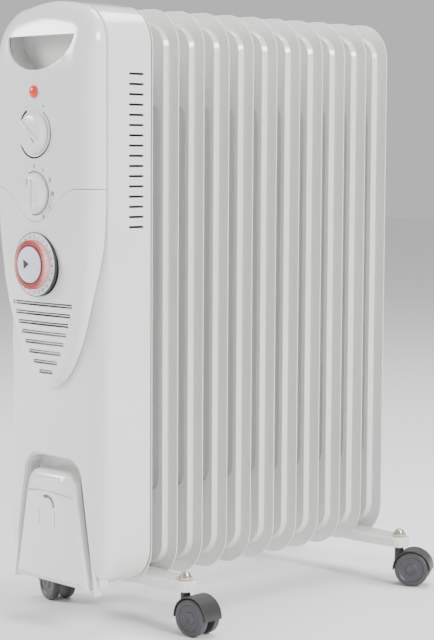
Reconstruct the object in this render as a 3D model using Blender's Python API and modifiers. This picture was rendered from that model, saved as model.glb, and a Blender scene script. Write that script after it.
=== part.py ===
"""Oil filled radiator heater on four swivel castors.

Eleven hollow steel fins stand in a row along +Y and carry a control housing at the front (-Y).
X runs across the heater, +Z is up, and the origin is on the floor under the middle of the row.
"""

import math

import bmesh
import bpy
from mathutils import Matrix, Vector

# Overall layout (metres)
FIRST_FIN_Y = -0.138        # middle plane of the fin next to the housing
FIN_COUNT = 11
FIN_PITCH = 0.03527
TOUCH_GAP = 0.0003          # left between pieces that touch
RUN_GAP = 0.0003            # round a shaft that turns in a hole
MERGE_STEP = 0.00002        # points closer than this are one point
THROUGH = 0.050             # depth of a cutter that only has to pass through a wall
CUT_MIDDLE = 0.080          # middle of the cutters for the front, ahead of the first fin
CUT_FRONT = 0.120
BEHIND_PANEL = 0.0012       # between the covers and what is mounted behind them

# Castors, from the floor up
WHEEL_RADIUS = 0.0190
WHEEL_INNER = 0.0054        # from the castor's middle plane to the wheel's inner face
WHEEL_OUTER = 0.0134
WHEEL_CHAMFER = 0.0022
WHEEL_SIDES = 16
WHEEL_WEB = 0.0014          # wall of the wheel's outer face
TRAIL = 0.0160
HOOD_CLEARANCE = 0.0022     # outside of the hood over the wheel
HOOD_WALL = 0.0014
HOOD_HALF_WIDTH = 0.0128
HOOD_DROOP = 4              # degrees that the hood reaches below the axle
HOOD_LUG = 0.0060
WEB_HALF = 0.0030
COLLAR_RADIUS = 0.0050
AXLE_RADIUS = 0.0015
CASTOR_TURNS = {"front_right": 5.0, "front_left": -13.0, "rear_right": 30.0, "rear_left": 130.0}
HOOD_RADIUS = WHEEL_RADIUS + HOOD_CLEARANCE
COLLAR_TOP = WHEEL_RADIUS + HOOD_RADIUS

# Foot plates
PLATE_BOTTOM = COLLAR_TOP + 0.0028
PLATE_TOP = PLATE_BOTTOM + 0.0105
PLATE_HALF = 0.0160
PLATE_WALL = 0.0016
PLATE_TIP = 0.0115          # radius of the rounded ends
PLATE_TAPER_START = 0.080
PLATE_SEAT = 0.0072         # boss round the stem
FRONT_STEM_X = 0.106
REAR_STEM_X = 0.1175
STEM_RADIUS = 0.0031
STEM_TOP = PLATE_TOP + 0.0080
STEM_BOTTOM = WHEEL_RADIUS + 0.0075
NUT_RADIUS = 0.0075
NUT_THICK = 0.0055
U_BOLT_WIRE = 0.0030
FIN_BOTTOM = PLATE_BOTTOM - 0.0010

# Fins
FIN_WIDTH = 0.150
FIN_HEIGHT = 0.580
FIN_CORNER = 0.040
SHEET = 0.0010              # wall of the pressed sheet
FLANGE_BAND = 0.0135        # flat welded rim round the fin
CHANNEL_DEPTH = 0.0062      # half the depth over the oil channels
CHANNEL_SLOPE = 0.0025
STRIP_HALF_WIDTH = 0.053    # pressed strip between the channels
STRIP_LOW = 0.092           # from the fin's lower edge to the strip
STRIP_HIGH = 0.095          # from the strip to the fin's upper edge
STRIP_DEPTH = 0.0020
HEADER_INSET = 0.046        # header axes, from the fin's lower and upper edges
HEADER_RADIUS = 0.020
HEADER_BORE = 0.0165
WELD_HALF = 0.0006          # half the thickness of the welded rim
FIN_TOP = FIN_BOTTOM + FIN_HEIGHT
HALF_WIDTH = FIN_WIDTH / 2
LOWER_HEADER_Z = FIN_BOTTOM + HEADER_INSET
UPPER_HEADER_Z = FIN_TOP - HEADER_INSET

# Heating element in the lower header
ELEMENT_ROD = 0.0042
ELEMENT_HALF_SPACING = 0.0085
ELEMENT_TAIL = 0.012        # how far the rods stand out into the housing
FLANGE_THICK = 0.004

# Housing
CASE_BOTTOM = FIN_BOTTOM + 0.004
CASE_TOP = FIN_TOP          # height of the corners; the domed middle is higher
CASE_CROWN = 0.004          # rise of the top over the corners
CASE_WALL = 0.0018
CASE_BACK = 0.0025          # gap between the first fin's plane and the housing
CASE_FRONT = 0.067          # front face, ahead of the first fin's plane
CASE_SIDE_EDGE = 0.0525     # where the side starts to round into the front
COVER_EDGE = 0.0600         # side edge of the covers, ahead of the first fin's plane
CASE_STEP = 0.0015          # how far the housing's front lies behind the covers' edge
COVER_FRONT = 0.0885        # control panel, ahead of the first fin's plane
COVER_WALL = 0.0024
COVER_REST = 0.0016         # the covers' edge over the housing's face
POCKET_REST = 0.0035        # between the covers and the finger pocket's rim
COVER_ROUND = 0.025
COVER_CROWN = 0.0035        # rise of the panel's middle over its sides
COVER_TIP = 0.0745          # panel at the shield's tip, ahead of the first fin's plane
COVER_LEAN = 0.016          # how far the handle bar leans back at the top
COVER_LEAN_START = 0.075
FADE_START = 0.060          # from the top, where the panel's rise fades out
FADE_END = 0.021
SHIELD_TIP = CASE_TOP - 0.3780# lowest point of the covers
SHIELD_TOP = CASE_TOP - 0.1790# where the shield's ellipse starts
SEAM_SIDE = SHIELD_TOP      # seam of the covers at the sides
SEAM_MIDDLE = SEAM_SIDE - 0.0330
SEAM_HALF = 0.058
SEAM_GAP = 0.0006
VENT_COUNT = 16
VENT_PITCH = 0.00993
VENT_LOWEST = CASE_TOP - 0.2163
VENT_HEIGHT = 0.0022
VENT_BACK = 0.0118          # ahead of the first fin's plane
VENT_FRONT = 0.0310
BACK_PLATE = 0.0012
BACK_PLATE_Y = 0.0082       # ahead of the first fin's plane

# Handle pocket
GRIP_LINE = CASE_TOP - 0.0300# underside of the handle bar
SCOOP_HALF = 0.051
SCOOP_DROP = 0.034
POCKET_DEPTH = 0.058        # back of the pocket, ahead of the first fin's plane
POCKET_WALL = 0.0016
POCKET_RISE = 0.014         # how far the pocket runs up behind the handle bar
POCKET_MARGIN = 0.005

# Controls on the middle line
LAMP_Z = CASE_TOP - 0.0850
LAMP_RADIUS = 0.0060
THERMOSTAT_Z = CASE_TOP - 0.1250
THERMOSTAT_RADIUS = 0.0210
SELECTOR_Z = CASE_TOP - 0.1840
SELECTOR_RADIUS = 0.0200
KNOB_DEPTH = 0.0095
KNOB_SKIRT = 0.0025
KNOB_TAPER = 0.0030
GRIP_HALF_WIDTH = 0.0028
GRIP_RISE = 0.0022
SHAFT_RADIUS = 0.0030
THERMOSTAT_TURN = -130.0    # degrees from the upright pointer at rest
TIMER_Z = CASE_TOP - 0.2540
TIMER_RADIUS = 0.0310
TIMER_RING = 0.0245
TIMER_RING_DEPTH = 0.0085
TIMER_HUB = 0.0180
TIMER_STAND = 0.0013        # how far the dial's back stands ahead of the panel
TIMER_DISC = 0.0022

# Louvres of the fan outlet
LOUVRE_COUNT = 8
LOUVRE_TOP = CASE_TOP - 0.2935
LOUVRE_PITCH = 0.0097
LOUVRE_HEIGHT = 0.0040
LOUVRE_MARGIN = 0.0085      # from the shield's edge to a louvre's end

# Cord storage
RECESS_BOTTOM_HALF = 0.064
RECESS_TOP_HALF = 0.045
RECESS_TOP = CASE_BOTTOM + 0.130
RECESS_CORNER = 0.022
RECESS_BACK = 0.047         # back of the recess, ahead of the first fin's plane
RECESS_WALL = 0.0016
WINDER_GAP = 0.0085         # all round between the winder's plate and the recess
WINDER_TOP = RECESS_TOP - 0.016
WINDER_WALL = 0.0026
WINDER_EDGE = 0.0600        # plate's rim, ahead of the first fin's plane
WINDER_FRONT = 0.0745       # middle of the plate
WINDER_CROWN = 0.0030
WINDER_CORNER = 0.0160
WINDER_HUB_HALF = 0.022
WINDER_HUB_LOW = CASE_BOTTOM + 0.026
WINDER_HUB_HIGH = CASE_BOTTOM + 0.078
TRAY_RIM = 0.0610           # rim of the recess, ahead of the first fin's plane
MOUTH_LIP = 0.0100          # how far the recess's floor runs past its open lower edge
GLAND_Z = CASE_BOTTOM + 0.036
GLAND_OFFSET = 0.0140       # beside the winder's hub
GLAND_BORE = 0.0036
GLAND_NECK = 0.0050
GLAND_COLLAR = 0.0070

# Inside the housing
FAN_Z = CASE_TOP - 0.330
FAN_BACK = 0.0180           # back of the motor, ahead of the first fin's plane
FAN_MOTOR_RADIUS = 0.0160
FAN_MOTOR_LENGTH = 0.0180
FAN_HUB_RADIUS = 0.0100
FAN_HUB_LENGTH = 0.0140
FAN_GAP = 0.0020            # between the motor and the impeller's hub
FAN_BLADES = 5
FAN_RADIUS = 0.0300
BLADE_HALF_CHORD = 0.0090
BLADE_HALF_THICK = 0.0012
BLADE_PITCH = 32            # degrees
BLOCK_Z = CASE_BOTTOM + 0.154
BLOCK_BACK = 0.0300
BLOCK_SIZE = (0.044, 0.016, 0.016)
BLOCK_HOLE = 0.0022
BLOCK_PITCH = 0.014

WHITE = (0.80, 0.80, 0.77)
PLASTIC_WHITE = (0.82, 0.82, 0.80)
DARK = (0.035, 0.035, 0.037)
STEEL = (0.55, 0.55, 0.54)
BRASS = (0.72, 0.63, 0.42)
BLACK = (0.012, 0.012, 0.012)
RED = (0.75, 0.04, 0.02)
COIL = (0.30, 0.27, 0.24)
DIAL_WHITE = (0.86, 0.86, 0.90)
HUB_BLUE = (0.66, 0.70, 0.80)


def clear_scene():
    """Remove every object that the file opened with."""
    for leftover in list(bpy.data.objects):
        bpy.data.objects.remove(leftover, do_unlink=True)


clear_scene()
PARTS = bpy.data.collections.new("oil_radiator_heater")
CUTTERS = bpy.data.collections.new("cutters")
bpy.context.scene.collection.children.link(PARTS)
bpy.context.scene.collection.children.link(CUTTERS)


def ahead(distance):
    """World Y of a plane that lies this far in front of the first fin's middle plane."""
    return FIRST_FIN_Y - distance


def material(name, colour, roughness, metallic=0.0):
    """One Principled material for one sub-part."""
    finish = bpy.data.materials.new(name)
    finish.use_nodes = True
    shader = finish.node_tree.nodes["Principled BSDF"]
    shader.inputs["Base Color"].default_value = (*colour, 1.0)
    shader.inputs["Roughness"].default_value = roughness
    shader.inputs["Metallic"].default_value = metallic
    return finish


def add_part(name, mesh, colour, roughness=0.35, metallic=0.0):
    """Put a mesh into the parts collection as one named sub-part."""
    part = bpy.data.objects.new(name, mesh)
    PARTS.objects.link(part)
    if not mesh.materials:
        mesh.materials.append(material(name, colour, roughness, metallic))
    return part


def add_cutter(name, mesh):
    """Put a mesh into the cutters collection, where it only shapes other pieces."""
    cutter = bpy.data.objects.new(name, mesh)
    CUTTERS.objects.link(cutter)
    cutter.hide_render = True
    cutter.display_type = "WIRE"
    return cutter


def to_mesh(name, bm, sharp_angle=35.0):
    """Finish a bmesh as a mesh, smooth except at its sharp edges."""
    bmesh.ops.recalc_face_normals(bm, faces=bm.faces)
    mesh = bpy.data.meshes.new(name)
    bm.to_mesh(mesh)
    bm.free()
    mesh.shade_smooth()
    mesh.set_sharp_from_angle(angle=math.radians(sharp_angle))
    return mesh


def combine(part, tool, operation):
    """Join a tool to a part, or cut it away, with a Boolean modifier."""
    modifier = part.modifiers.new(operation.lower(), "BOOLEAN")
    modifier.operation = operation
    modifier.object = tool
    modifier.solver = "EXACT"


def cut(part, *tools):
    for tool in tools:
        combine(part, tool, "DIFFERENCE")


def join(part, *tools):
    for tool in tools:
        combine(part, tool, "UNION")


def ring(bm, points):
    """A closed loop of edges through the points."""
    verts = [bm.verts.new(point) for point in points]
    count = len(verts)
    edges = [bm.edges.new((verts[i], verts[(i + 1) % count])) for i in range(count)]
    return verts, edges


def skin_between(bm, first, second):
    """Quads between two sections whose points correspond one to one."""
    count = len(first)
    for index in range(count):
        after = (index + 1) % count
        bm.faces.new((first[index], first[after], second[after], second[index]))


def loft(name, loops):
    """A skin from section to section, with its two ends filled."""
    bm = bmesh.new()
    rings = [ring(bm, loop) for loop in loops]
    for (first, _), (second, _) in zip(rings, rings[1:]):
        skin_between(bm, first, second)
    for _, edges in (rings[0], rings[-1]):
        bmesh.ops.contextual_create(bm, geom=edges)
    return to_mesh(name, bm)


def add_box(bm, size, middle):
    """Adds a box of this size to a bmesh."""
    made = bmesh.ops.create_cube(bm, size=1.0)["verts"]
    bmesh.ops.scale(bm, vec=size, verts=made)
    bmesh.ops.translate(bm, vec=middle, verts=made)


def box_mesh(name, low, high, bevel=0.0):
    """A box between two corners, with its edges rounded if bevel is given."""
    bm = bmesh.new()
    low, high = Vector(low), Vector(high)
    add_box(bm, high - low, (low + high) / 2)
    if bevel:
        bmesh.ops.bevel(bm, geom=bm.edges[:], offset=bevel, segments=1, affect="EDGES")
    return to_mesh(name, bm)


def turned_mesh(name, profile, sides, along="Y", half_step=False):
    """A closed turned solid: profile holds (radius, position) pairs along the axis."""
    bm = bmesh.new()
    verts = [bm.verts.new((radius, 0.0, place)) for radius, place in profile]
    edges = [bm.edges.new(pair) for pair in zip(verts, verts[1:])]
    bmesh.ops.spin(bm, geom=verts + edges, cent=(0, 0, 0), axis=(0, 0, 1),
                   angle=math.tau, steps=sides, use_merge=True)
    bmesh.ops.remove_doubles(bm, verts=bm.verts, dist=MERGE_STEP)
    if half_step:
        bmesh.ops.rotate(bm, verts=bm.verts, matrix=Matrix.Rotation(math.pi / sides, 3, "Z"))
    if along == "Y":
        bmesh.ops.rotate(bm, verts=bm.verts, matrix=Matrix.Rotation(math.pi / 2, 3, "X"))
    return to_mesh(name, bm)


def rod_mesh(name, radius, start, end, sides=12):
    """A plain cylinder between two points."""
    bm = bmesh.new()
    start, end = Vector(start), Vector(end)
    span = end - start
    bmesh.ops.create_cone(bm, cap_ends=True, segments=sides, radius1=radius, radius2=radius,
                          depth=span.length)
    turn = span.to_track_quat("Z", "Y").to_matrix()
    bmesh.ops.rotate(bm, verts=bm.verts, matrix=turn)
    bmesh.ops.translate(bm, vec=(start + end) / 2, verts=bm.verts)
    return to_mesh(name, bm)


def bent_rod(name, path, radius, colour, roughness, metallic):
    """A part of round wire that follows a path."""
    curve = bpy.data.curves.new(name, "CURVE")
    curve.dimensions = "3D"
    curve.bevel_depth = radius
    curve.bevel_resolution = 1
    curve.use_fill_caps = True
    spline = curve.splines.new("POLY")
    spline.points.add(len(path) - 1)
    for point, place in zip(spline.points, path):
        point.co = (*place, 1.0)
    source = bpy.data.objects.new(name + "_path", curve)
    PARTS.objects.link(source)
    bm = bmesh.new()
    bm.from_mesh(baked(source))
    bmesh.ops.remove_doubles(bm, verts=bm.verts, dist=MERGE_STEP)
    return add_part(name, to_mesh(name, bm), colour, roughness, metallic)


def baked(source):
    """The finished mesh of an object with its modifiers applied; the object is removed."""
    depsgraph = bpy.context.evaluated_depsgraph_get()
    mesh = bpy.data.meshes.new_from_object(source.evaluated_get(depsgraph))
    bpy.data.objects.remove(source, do_unlink=True)
    return mesh


def arc(centre_x, centre_z, radius, start, end, steps):
    """Points on an arc in the XZ plane, angles in degrees from +X."""
    points = []
    for step in range(steps + 1):
        angle = math.radians(start + (end - start) * step / steps)
        points.append((centre_x + radius * math.cos(angle), centre_z + radius * math.sin(angle)))
    return points


def rounded_outline(half_width, low, high, radius, steps=3):
    """A rectangle with round corners in the XZ plane, anticlockwise from the lower right."""
    inner = half_width - radius
    return (
        arc(inner, low + radius, radius, -90, 0, steps)
        + arc(inner, high - radius, radius, 0, 90, steps)
        + arc(-inner, high - radius, radius, 90, 180, steps)
        + arc(-inner, low + radius, radius, 180, 270, steps)
    )


def at_y(outline, y):
    return [(x, y, z) for x, z in outline]


# ---------------------------------------------------------------- fins

def fin_sections(skin, corner_steps):
    """Sections of one half of a fin from its pressed strip out to the rim.

    A skin of 0 gives the outer form; a skin of one sheet gives the oil space inside it.
    """
    strip = (STRIP_HALF_WIDTH, STRIP_LOW, FIN_HEIGHT - STRIP_HIGH, 0.014)
    channel_edge = FLANGE_BAND + CHANNEL_SLOPE + skin

    def section(half_width, low, high, radius, depth):
        outline = rounded_outline(half_width, FIN_BOTTOM + low, FIN_BOTTOM + high, radius,
                                  corner_steps)
        return outline, depth

    floor_inset = CHANNEL_SLOPE - skin
    floor = section(strip[0] - floor_inset, strip[1] + floor_inset, strip[2] - floor_inset,
                    strip[3] - floor_inset, STRIP_DEPTH - skin)
    rim = section(strip[0] + skin, strip[1] - skin, strip[2] + skin, strip[3] + skin,
                  CHANNEL_DEPTH - skin)
    channel = section(HALF_WIDTH - channel_edge, channel_edge, FIN_HEIGHT - channel_edge,
                      FIN_CORNER - channel_edge, CHANNEL_DEPTH - skin)
    return [floor, rim, channel]


def fin_mesh(name, front_headers, rear_headers):
    """One fin: two pressed sheets welded at the rim, with headers to the fins beside it."""
    root = rounded_outline(HALF_WIDTH - FLANGE_BAND, FIN_BOTTOM + FLANGE_BAND,
                           FIN_TOP - FLANGE_BAND, FIN_CORNER - FLANGE_BAND)
    edge = rounded_outline(HALF_WIDTH, FIN_BOTTOM, FIN_TOP, FIN_CORNER)
    half = fin_sections(0.0, 3) + [(root, WELD_HALF), (edge, WELD_HALF)]
    loops = [at_y(outline, -depth) for outline, depth in half]
    loops += [at_y(outline, depth) for outline, depth in reversed(half)]
    fin = bpy.data.objects.new(name + "_form", loft(name, loops))
    PARTS.objects.link(fin)

    inner = fin_sections(SHEET, 1)
    hollow = [at_y(outline, -depth) for outline, depth in inner]
    hollow += [at_y(outline, depth) for outline, depth in reversed(inner)]
    oil_space = add_cutter(name + "_oil_space", loft(name + "_oil_space", hollow))

    reach = FIN_PITCH / 2 - TOUCH_GAP / 2
    tools = [oil_space]
    for label, height in (("lower", LOWER_HEADER_Z), ("upper", UPPER_HEADER_Z)):
        start = -reach if label in front_headers else 0.0
        end = reach if label in rear_headers else 0.0
        boss = rod_mesh(name + label, HEADER_RADIUS, (0, start, height), (0, end, height), 8)
        bore_start = start - TOUCH_GAP if label in front_headers else 0.0
        bore_end = end + TOUCH_GAP if label in rear_headers else 0.0
        bore = rod_mesh(name + label + "_bore", HEADER_BORE, (0, bore_start, height),
                        (0, bore_end, height), 8)
        join(fin, add_cutter(name + label + "_boss", boss))
        tools.append(add_cutter(name + label + "_bore", bore))
    cut(fin, *tools)

    mesh = baked(fin)
    mesh.name = name
    for tool in [cutter for cutter in CUTTERS.objects if cutter.name.startswith(name)]:
        bpy.data.objects.remove(tool, do_unlink=True)
    mesh.materials.clear()
    mesh.materials.append(material(name, WHITE, 0.3))
    return mesh


def build_fins():
    """The row of fins; the first is closed at the top front, the last at the back."""
    both = ("lower", "upper")
    first = fin_mesh("fin_first", ("lower",), both)
    middle = fin_mesh("fin_middle", both, both)
    last = fin_mesh("fin_last", both, ())
    for index in range(FIN_COUNT):
        mesh = first if index == 0 else last if index == FIN_COUNT - 1 else middle
        fin = add_part(f"fin_{index + 1:02d}", mesh, WHITE)
        fin.location.y = FIRST_FIN_Y + index * FIN_PITCH


def build_element():
    """The hairpin heating element in the lower header and the flange that closes it."""
    header_front = ahead(FIN_PITCH / 2 - TOUCH_GAP / 2)
    far_y = FIRST_FIN_Y + (FIN_COUNT - 1.5) * FIN_PITCH
    start_y = header_front - FLANGE_THICK - ELEMENT_TAIL
    path = [(-ELEMENT_HALF_SPACING, start_y, LOWER_HEADER_Z)]
    for step in range(7):
        angle = math.pi * step / 6
        path.append((-ELEMENT_HALF_SPACING * math.cos(angle),
                     far_y + ELEMENT_HALF_SPACING * math.sin(angle), LOWER_HEADER_Z))
    path.append((ELEMENT_HALF_SPACING, start_y, LOWER_HEADER_Z))
    bent_rod("heating_element", path, ELEMENT_ROD, COIL, 0.4, 0.8)

    flange_back = header_front - TOUCH_GAP
    flange = add_part(
        "element_flange",
        rod_mesh("element_flange", HEADER_RADIUS + 0.003,
                 (0, flange_back - FLANGE_THICK, LOWER_HEADER_Z),
                 (0, flange_back, LOWER_HEADER_Z), 16),
        STEEL, 0.35, 0.9)
    for side in (-1, 1):
        x = side * ELEMENT_HALF_SPACING
        hole = rod_mesh("element_hole", ELEMENT_ROD + TOUCH_GAP,
                        (x, flange_back - 2 * FLANGE_THICK, LOWER_HEADER_Z),
                        (x, flange_back + FLANGE_THICK, LOWER_HEADER_Z), 10)
        cut(flange, add_cutter("element_hole", hole))


# ---------------------------------------------------------------- housing

def crowned_outline(inset, steps=3):
    """The housing's outline from the front, with a slightly domed top, inset all round."""
    corner = FIN_CORNER - inset
    inner = HALF_WIDTH - FIN_CORNER
    corner_z = CASE_TOP - FIN_CORNER
    # the dome's arc meets both top corners smoothly
    drop = (inner ** 2 - CASE_CROWN ** 2 - 2 * CASE_CROWN * FIN_CORNER) / (2 * CASE_CROWN)
    dome = drop + FIN_CORNER + CASE_CROWN
    dome_z = CASE_TOP + CASE_CROWN - dome
    lean = math.degrees(math.atan2(inner, corner_z - dome_z))
    return (
        arc(inner, CASE_BOTTOM + FIN_CORNER, corner, -90, 0, steps)
        + arc(inner, corner_z, corner, 0, 90 - lean, steps)
        + arc(0, dome_z, dome - inset, 90 - lean, 90 + lean, 4)[1:-1]
        + arc(-inner, corner_z, corner, 90 + lean, 180, steps)
        + arc(-inner, CASE_BOTTOM + FIN_CORNER, corner, 180, 270, steps)
    )


def smooth_step(low, high, value):
    share = min(max((value - low) / (high - low), 0.0), 1.0)
    return share * share * (3 - 2 * share)


def shell(name, loops, rise=None):
    """An open skin closed at its last loop, where rise lifts the middle of the face."""
    bm = bmesh.new()
    rings = [ring(bm, loop) for loop in loops]
    for (first, _), (second, _) in zip(rings, rings[1:]):
        skin_between(bm, first, second)
    front, edges = rings[-1]
    bmesh.ops.contextual_create(bm, geom=edges)
    opposite = {(round(-vert.co.x, 6), round(vert.co.z, 6)): vert for vert in front}
    pairs = []
    for vert in front:
        partner = opposite.get((round(vert.co.x, 6), round(vert.co.z, 6)))
        if vert.co.x > MERGE_STEP and partner:
            pairs.append([vert, partner])
    halves = {round(vert.co.z, 6): vert.co.x for vert, _ in pairs}
    crossings = []
    for pair in pairs:
        crossings += bmesh.ops.connect_verts(bm, verts=pair)["edges"]
    if rise:
        made = bmesh.ops.subdivide_edges(bm, edges=crossings, cuts=3)["geom_inner"]
        for point in (item for item in made if isinstance(item, bmesh.types.BMVert)):
            half = halves[round(point.co.z, 6)]
            point.co.y -= rise(point.co.x, point.co.z, half)
    bmesh.ops.recalc_face_normals(bm, faces=bm.faces)
    mesh = bpy.data.meshes.new(name)
    bm.to_mesh(mesh)
    bm.free()
    mesh.shade_smooth()
    mesh.set_sharp_from_angle(angle=math.radians(35))
    return mesh


def thicken(part, wall, offset=-1.0):
    modifier = part.modifiers.new("wall", "SOLIDIFY")
    modifier.thickness = wall
    modifier.offset = offset
    modifier.use_even_offset = True
    modifier.thickness_clamp = 0.0


def plate_prism(name, outline, y_low, y_high):
    """A flat outline in the XZ plane made solid between two planes."""
    return loft(name, [at_y(outline, y_low), at_y(outline, y_high)])


def case_rows():
    """Inset from the housing's outline, with the depth there below and behind the covers."""
    hidden = COVER_EDGE - CASE_STEP
    rise = CASE_FRONT - CASE_SIDE_EDGE
    lower = [(0.0, 0.0), (0.0010, 0.28), (0.0040, 0.56), (0.0100, 0.80), (0.0200, 0.93)]
    behind = (hidden - 0.0015, hidden - 0.0006, hidden, hidden, hidden)
    return [(inset, CASE_SIDE_EDGE + rise * share, depth)
            for (inset, share), depth in zip(lower, behind)]


def case_depth(inset, z):
    """How far the housing's front stands ahead of the first fin's plane."""
    blend = smooth_step(SHIELD_TIP + 0.09, SHIELD_TOP - 0.04, z)
    rows = case_rows()
    for (inset_a, low_a, high_a), (inset_b, low_b, high_b) in zip(rows, rows[1:]):
        if inset <= inset_b:
            share = (inset - inset_a) / (inset_b - inset_a)
            low = low_a + (low_b - low_a) * share
            high = high_a + (high_b - high_a) * share
            return low + (high - low) * blend
    return rows[-1][1] + (rows[-1][2] - rows[-1][1]) * blend


def build_casing():
    """The pressed housing: sides, top, bottom and lower front, open at the back."""
    loops = [at_y(with_side_points(crowned_outline(0.0)), ahead(CASE_BACK))]
    for inset, _, _ in case_rows():
        loops.append([(x, ahead(case_depth(inset, z)), z)
                      for x, z in with_side_points(crowned_outline(inset))])
    casing = add_part("casing", shell("casing", loops), WHITE, 0.3)
    thicken(casing, CASE_WALL)

    window = rounded_outline(0.038, SHIELD_TIP + 0.060, CASE_TOP - 0.030, 0.010, 1)
    cut(casing, add_cutter("control_window", plate_prism(
        "control_window", window, ahead(0.09), ahead(0.045))))
    cut(casing, add_cutter("pocket_window", plate_prism(
        "pocket_window", scoop_outline(POCKET_MARGIN + CASE_WALL, POCKET_RISE + CASE_WALL),
        ahead(0.09), ahead(0.045))))
    cut(casing, add_cutter("recess_window", plate_prism(
        "recess_window", recess_outline(0.0), ahead(0.09), ahead(RECESS_BACK - 0.001))))
    vents = bmesh.new()
    for index in range(VENT_COUNT):
        add_box(vents, (FIN_WIDTH * 1.2, VENT_FRONT - VENT_BACK, VENT_HEIGHT),
                (0, ahead((VENT_FRONT + VENT_BACK) / 2), VENT_LOWEST + index * VENT_PITCH))
    cut(casing, add_cutter("vents", to_mesh("vents", vents)))
    return casing


def with_side_points(outline):
    """Adds points down the straight sides, so that the side can change shape with height."""
    drops = (0.042, 0.122, 0.179, 0.222, 0.262, 0.302, 0.352, 0.422)
    heights = [CASE_TOP - drop for drop in drops]
    points = []
    for index, (x, z) in enumerate(outline):
        points.append((x, z))
        after_x, after_z = outline[(index + 1) % len(outline)]
        if abs(z - after_z) > 0.3:
            inside = [h for h in heights if min(z, after_z) + 0.01 < h < max(z, after_z) - 0.002]
            ordered = sorted(inside, reverse=after_z < z)
            points += [(x, h) for h in ordered]
    return points


def recess_outline(inset):
    """The cord storage's outline: narrow and rounded above, open below."""
    low = CASE_BOTTOM - 0.004
    top_half = RECESS_TOP_HALF - inset
    corner = RECESS_CORNER
    high = RECESS_TOP - inset
    right = arc(top_half - corner, high - corner, corner, 12, 90, 4)
    left = [(-x, z) for x, z in reversed(right)]
    bottom_half = RECESS_BOTTOM_HALF - inset
    return [(bottom_half, low)] + right + left + [(-bottom_half, low)]


def build_cord_storage():
    """The recessed tray in the housing and the plate that the cord is wound behind."""
    outer = recess_outline(TOUCH_GAP)
    bm = bmesh.new()
    front = at_y(outer, ahead(TRAY_RIM))
    floor = at_y(outer, ahead(RECESS_BACK))
    rings = [ring(bm, front), ring(bm, floor)]
    skin_between(bm, rings[0][0], rings[1][0])
    bmesh.ops.contextual_create(bm, geom=rings[1][1])
    bmesh.ops.recalc_face_normals(bm, faces=bm.faces)
    mesh = bpy.data.meshes.new("cord_recess")
    bm.to_mesh(mesh)
    bm.free()
    tray = add_part("cord_recess", mesh, WHITE, 0.35)
    for polygon in mesh.polygons:
        polygon.flip()
    mesh.update()
    thicken(tray, RECESS_WALL, offset=1.0)
    # the tray is open below, so the cord's end can leave it
    mouth = box_mesh("tray_mouth", (-FIN_WIDTH, ahead(CUT_FRONT), CASE_BOTTOM - MOUTH_LIP),
                     (FIN_WIDTH, ahead(RECESS_BACK - MOUTH_LIP),
                      CASE_BOTTOM + CASE_WALL + TOUCH_GAP))
    cut(tray, add_cutter("tray_mouth", mouth))

    loops = []
    face = WINDER_FRONT - WINDER_CROWN
    for inset, depth in ((0.0, WINDER_EDGE), (0.0, face - 0.0065), (0.0020, face - 0.0025),
                         (0.0070, face)):
        loops.append(at_y(winder_outline(inset), ahead(depth)))
    winder = add_part("cord_winder", shell("cord_winder", loops, winder_rise), PLASTIC_WHITE)
    thicken(winder, WINDER_WALL)
    hub = box_mesh("winder_hub",
                   (-WINDER_HUB_HALF, ahead(WINDER_FRONT - WINDER_WALL * 0.8), WINDER_HUB_LOW),
                   (WINDER_HUB_HALF, ahead(RECESS_BACK + RECESS_WALL + TOUCH_GAP), WINDER_HUB_HIGH))
    join(winder, add_cutter("winder_hub", hub))


def winder_rise(x, _, half):
    return WINDER_CROWN * (1 - (x / half) ** 2)


def winder_outline(inset):
    """The winder plate's outline, a trapezium with round upper corners."""
    low = CASE_BOTTOM + inset
    shoulder = RECESS_TOP_HALF - WINDER_GAP - inset
    corner = WINDER_CORNER - inset * 0.5
    high = WINDER_TOP - inset
    right = arc(shoulder - corner, high - corner, corner, 12, 90, 4)
    left = [(-x, z) for x, z in reversed(right)]
    bottom_half = RECESS_BOTTOM_HALF - WINDER_GAP - inset
    return [(bottom_half, low)] + right + left + [(-bottom_half, low)]


def cover_outline(inset):
    """Outline of the two covers together: the housing's top, tapering to the shield's tip."""
    top = [point for point in crowned_outline(inset) if point[1] > CASE_TOP - FIN_CORNER - 0.001]
    half = HALF_WIDTH - inset
    fall = SHIELD_TOP - SHIELD_TIP - inset
    steps = 9
    right = []
    for step in range(steps):
        angle = math.pi / 2 * (1 - (step + 1) / steps)
        right.append((half * math.cos(angle), SHIELD_TOP - fall * math.sin(angle)))
    right += [(half, CASE_TOP - drop) for drop in (0.142, 0.118, 0.092, 0.066)]
    left = [(-x, z) for x, z in reversed(right)]
    return right + top + left + [(0.0, SHIELD_TOP - fall)]


def panel_depth(z):
    """How far the sides of the control panel stand ahead of the first fin's plane."""
    lower = smooth_step(SHIELD_TIP - 0.02, SHIELD_TOP - 0.01, z)
    upper = max(0.0, z - (CASE_TOP - COVER_LEAN_START)) / (COVER_LEAN_START + CASE_CROWN)
    flat = COVER_TIP + (COVER_FRONT - COVER_CROWN - COVER_TIP) * lower
    return flat - COVER_LEAN * upper ** 2


def cover_rise(x, z, half):
    """Rise of the panel over its sides: less where the shield is narrow, none at the top."""
    share = half / (HALF_WIDTH - COVER_ROUND)
    fade = 1 - smooth_step(CASE_TOP - FADE_START, CASE_TOP - FADE_END, z)
    return COVER_CROWN * share ** 2 * fade * (1 - (x / half) ** 2)


def cover_half(z):
    """Half the width of the covers at this height."""
    below = max(0.0, SHIELD_TOP - z) / (SHIELD_TOP - SHIELD_TIP)
    return HALF_WIDTH * math.sqrt(max(0.0, 1 - below ** 2))


def middle_depth(z):
    """How far the control panel stands ahead of the first fin's plane on the middle line."""
    return panel_depth(z) + cover_rise(0.0, z, cover_half(z) - COVER_ROUND)


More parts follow.
